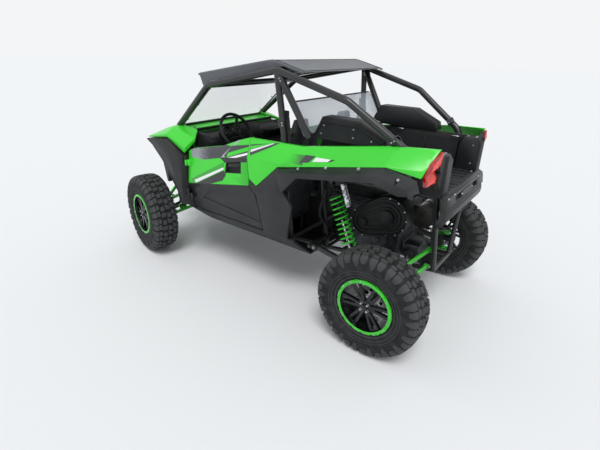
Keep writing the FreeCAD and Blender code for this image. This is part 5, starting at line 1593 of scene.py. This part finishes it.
def canopy(shape):
    """The sheet as rows across it: skirt, fold and crown, slightly hollow between the bows."""
    rows = []
    for i in range(111):
        x = BACK_X + (FRONT_X - BACK_X) * i / 110
        top = roof_height(x)
        depth = skirt_depth(x)
        fold = min(0.014, depth * 0.8)
        section = []
        for k in range(7):
            section.append((ROOF_HALF, top - depth + (depth - fold) * k / 6, 1))
        for k in range(1, 6):
            angle = math.pi / 2 * k / 6
            section.append((ROOF_HALF - fold + fold * math.cos(angle), top - fold + fold * math.sin(angle),
                            0.3))
        for k in range(25):
            y = (ROOF_HALF - fold) * (1 - k / 24)
            span = (x - BACK_X) / (RIDGE_X - BACK_X) if x < RIDGE_X else (x - RIDGE_X) / (FRONT_X - RIDGE_X)
            between = math.sin(math.pi * min(1, max(0, span)))
            section.append((y, top - 0.0075 * between * (1 - (y / 0.59) ** 2), 0))
        row = []
        whole = section + [(-y, z, slack) for y, z, slack in reversed(section[:-1])]
        for y, z, slack in whole:
            near_bend = math.exp(-((x - 0.44) / 0.10) ** 2)
            ruck = math.sin(95 * x + 60 * (z - top)) * math.cos(41 * x - 130 * (z - top))
            ruck = abs(ruck) * 0.0035 * slack * near_bend
            ripple = math.sin(31 * x + 17 * y) * math.sin(23 * y - 9 * x) * 0.0009 * (1 - slack)
            side = 1 if y > 0 else -1
            row.append(shape.verts.new((x, y - side * (ruck + 0.0005 * slack), z - abs(ripple))))
        rows.append(row)
    for low, high in zip(rows, rows[1:]):
        for j in range(len(low) - 1):
            shape.faces.new((low[j], low[j + 1], high[j + 1], high[j]))
    bmesh.ops.recalc_face_normals(shape, faces=shape.faces)
    if sum(f.normal.z for f in shape.faces) < 0:
        bmesh.ops.reverse_faces(shape, faces=shape.faces)


roof = linked("soft_top", mesh_of("soft_top", canopy, top_cloth))
thickness = roof.modifiers.new("cloth thickness", "SOLIDIFY")
thickness.thickness = 0.0022
thickness.offset = -1
settle(roof)
roof.data.shade_smooth()
roof.data.set_sharp_from_angle(angle=math.radians(50))
kept(roof, "root", "roof_vinyl", "roof")


SEAM_STATIONS = (-0.505, -0.42, -0.33, -0.26, -0.233, -0.20, -0.1, 0.05, 0.2, 0.35, 0.48, 0.566)


def hems(shape):
    """Doubled edges and the sewn seam across the ridge and along each fold."""
    for side in (1, -1):
        for reach in (0.578, 0.564):
            tube_along(shape, [(x, side * reach, roof_height(x) + 0.0008) for x in SEAM_STATIONS], 0.0011,
                       6, 3)
    for x in (-0.500, -0.492, -0.250, -0.216, 0.552, 0.561):
        line = [(x, y, roof_height(x) + 0.000168) for y in (-0.575, -0.3, 0, 0.3, 0.575)]
        tube_along(shape, line, 0.0011, 6, 3)


thread = made_of("sewing_thread", {"Roughness": 0.7}, "#2a2c2f", "#35373a", 0.01, 0.001, 0.0003, 0.6)
fitted("roof_seams", hems, thread, "roof_vinyl")


# Screens: clear polycarbonate ahead of the cab and a low smoked sheet behind
# the seats, with rubber edging, screwed to tabs on the cage.
clear, tree, shader = surface("clear_polycarbonate", {
    "Base Color": linear("#e4ebec"), "Roughness": 0.04, "IOR": 1.58, "Alpha": 0.14})
grain(tree, shader, 0.3, 0.0004, 0.01)
smoked, tree, shader = surface("smoked_polycarbonate", {
    "Base Color": linear("#aeb8c2"), "Roughness": 0.06, "IOR": 1.58, "Alpha": 0.42})
grain(tree, shader, 0.3, 0.0004, 0.01)
coat(clear, "windscreen")
coat(smoked, "rear_screen")


def screen_edging(shape):
    """Rubber strips on the windscreen's sides and foot, and along the rear screen."""
    down = Vector((0.453, 0, -0.400)).normalized()
    for side in (1, -1):
        ribbon(shape, [(0.4890, side * 0.5225, 1.6930), (0.700, side * 0.5225, 1.5068),
                       (0.9290, side * 0.5225, 1.3045)],
               (0, 1, 0), 0.013, 0.010, 4)
    ribbon(shape, [(0.926, -0.515, 1.307), (0.926, 0, 1.307), (0.926, 0.515, 1.307)], down, 0.013, 0.010, 4)
    back = Vector((0.137, 0, 0.228)).normalized()
    for x, z in ((-0.4040, 1.6370), (-0.5370, 1.4170)):
        ribbon(shape, [(x, y, z) for y in (-0.560, 0, 0.560)], back, 0.010, 0.009, 4)


fitted("screen_edging", screen_edging, hose_rubber, "black_plastic")
screen_spots = []
rise = Vector((0.400, 0, 0.453)).normalized()
for side in (1, -1):
    for share in (0.12, 0.5, 0.88):
        spot = Vector((0.4890, side * 0.500, 1.6930)).lerp(Vector((0.9290, side * 0.500, 1.3045)), share)
        screen_spots.append((spot + rise * 0.0035, rise))
for y in (-0.52, -0.26, 0.26, 0.52):
    screen_spots.append(((-0.5340, y, 1.4300), (-0.857, 0, 0.515)))
bolts("screen_screws", screen_spots, 0.008, black_bolt)


# Studio: a wide pale floor under a soft sun and a white room, and the camera
# where the photograph was taken.
floor_paint, tree, shader = surface("pale_floor", {"Base Color": linear("#f3f4f5"), "Roughness": 0.95,
                                                   "Specular IOR Level": 0.1})
reach = 60
ground = bpy.data.meshes.new("floor")
ground.from_pydata([(-reach, -reach, 0), (reach, -reach, 0), (reach, reach, 0), (-reach, reach, 0)], [],
                   [(0, 1, 2, 3)])
ground.materials.append(floor_paint)
floor = linked("floor", ground)

world = bpy.data.worlds.new("studio")
bpy.context.scene.world = world
world.use_nodes = True
room = world.node_tree
lit = room.nodes["Background"]
lit.inputs["Color"].default_value = linear("#eef1f4")
lit.inputs["Strength"].default_value = 0.68
white = add(room, "ShaderNodeBackground", {"Color": linear("#f4f5f6"), "Strength": 1.0})
rays = add(room, "ShaderNodeLightPath")
seen = add(room, "ShaderNodeMath", {0: rays.outputs["Is Camera Ray"], 1: rays.outputs["Is Glossy Ray"]},
           operation="MAXIMUM")
seen = add(room, "ShaderNodeMath", {0: seen.outputs[0], 1: rays.outputs["Is Transmission Ray"]},
           operation="MAXIMUM")
shown = add(room, "ShaderNodeMixShader", {0: seen.outputs[0], 1: lit.outputs[0], 2: white.outputs[0]})
room.links.new(shown.outputs[0], room.nodes["World Output"].inputs["Surface"])

sun = bpy.data.lights.new("sun", "SUN")
sun.energy = 1.5
sun.angle = math.radians(24)
sun_lamp = bpy.data.objects.new("sun", sun)
sun_lamp.rotation_euler = Vector((0.30, -0.42, -0.85)).to_track_quat("-Z", "Y").to_euler()
bpy.context.scene.collection.objects.link(sun_lamp)

eye = bpy.data.cameras.new("camera")
FOCAL_PIXELS = 404.8
IMAGE_WIDTH = 600
SENSOR_MM = 36
eye.sensor_width = SENSOR_MM
eye.lens = FOCAL_PIXELS / IMAGE_WIDTH * SENSOR_MM
camera = bpy.data.objects.new("camera", eye)
yaw, pitch, roll = -0.9357, -0.4143, 0.0282
forward = Vector((math.cos(pitch) * math.cos(yaw), math.cos(pitch) * math.sin(yaw), math.sin(pitch)))
level = forward.cross(Vector((0, 0, 1))).normalized()
upright = level.cross(forward)
across = level * math.cos(roll) + upright * math.sin(roll)
above = upright * math.cos(roll) - level * math.sin(roll)
camera.matrix_world = Matrix((across, above, -forward)).transposed().to_4x4()
camera.location = (-2.2574, 2.9524, 2.0)
bpy.context.scene.collection.objects.link(camera)
bpy.context.scene.camera = camera
bpy.context.scene.view_settings.view_transform = "Standard"
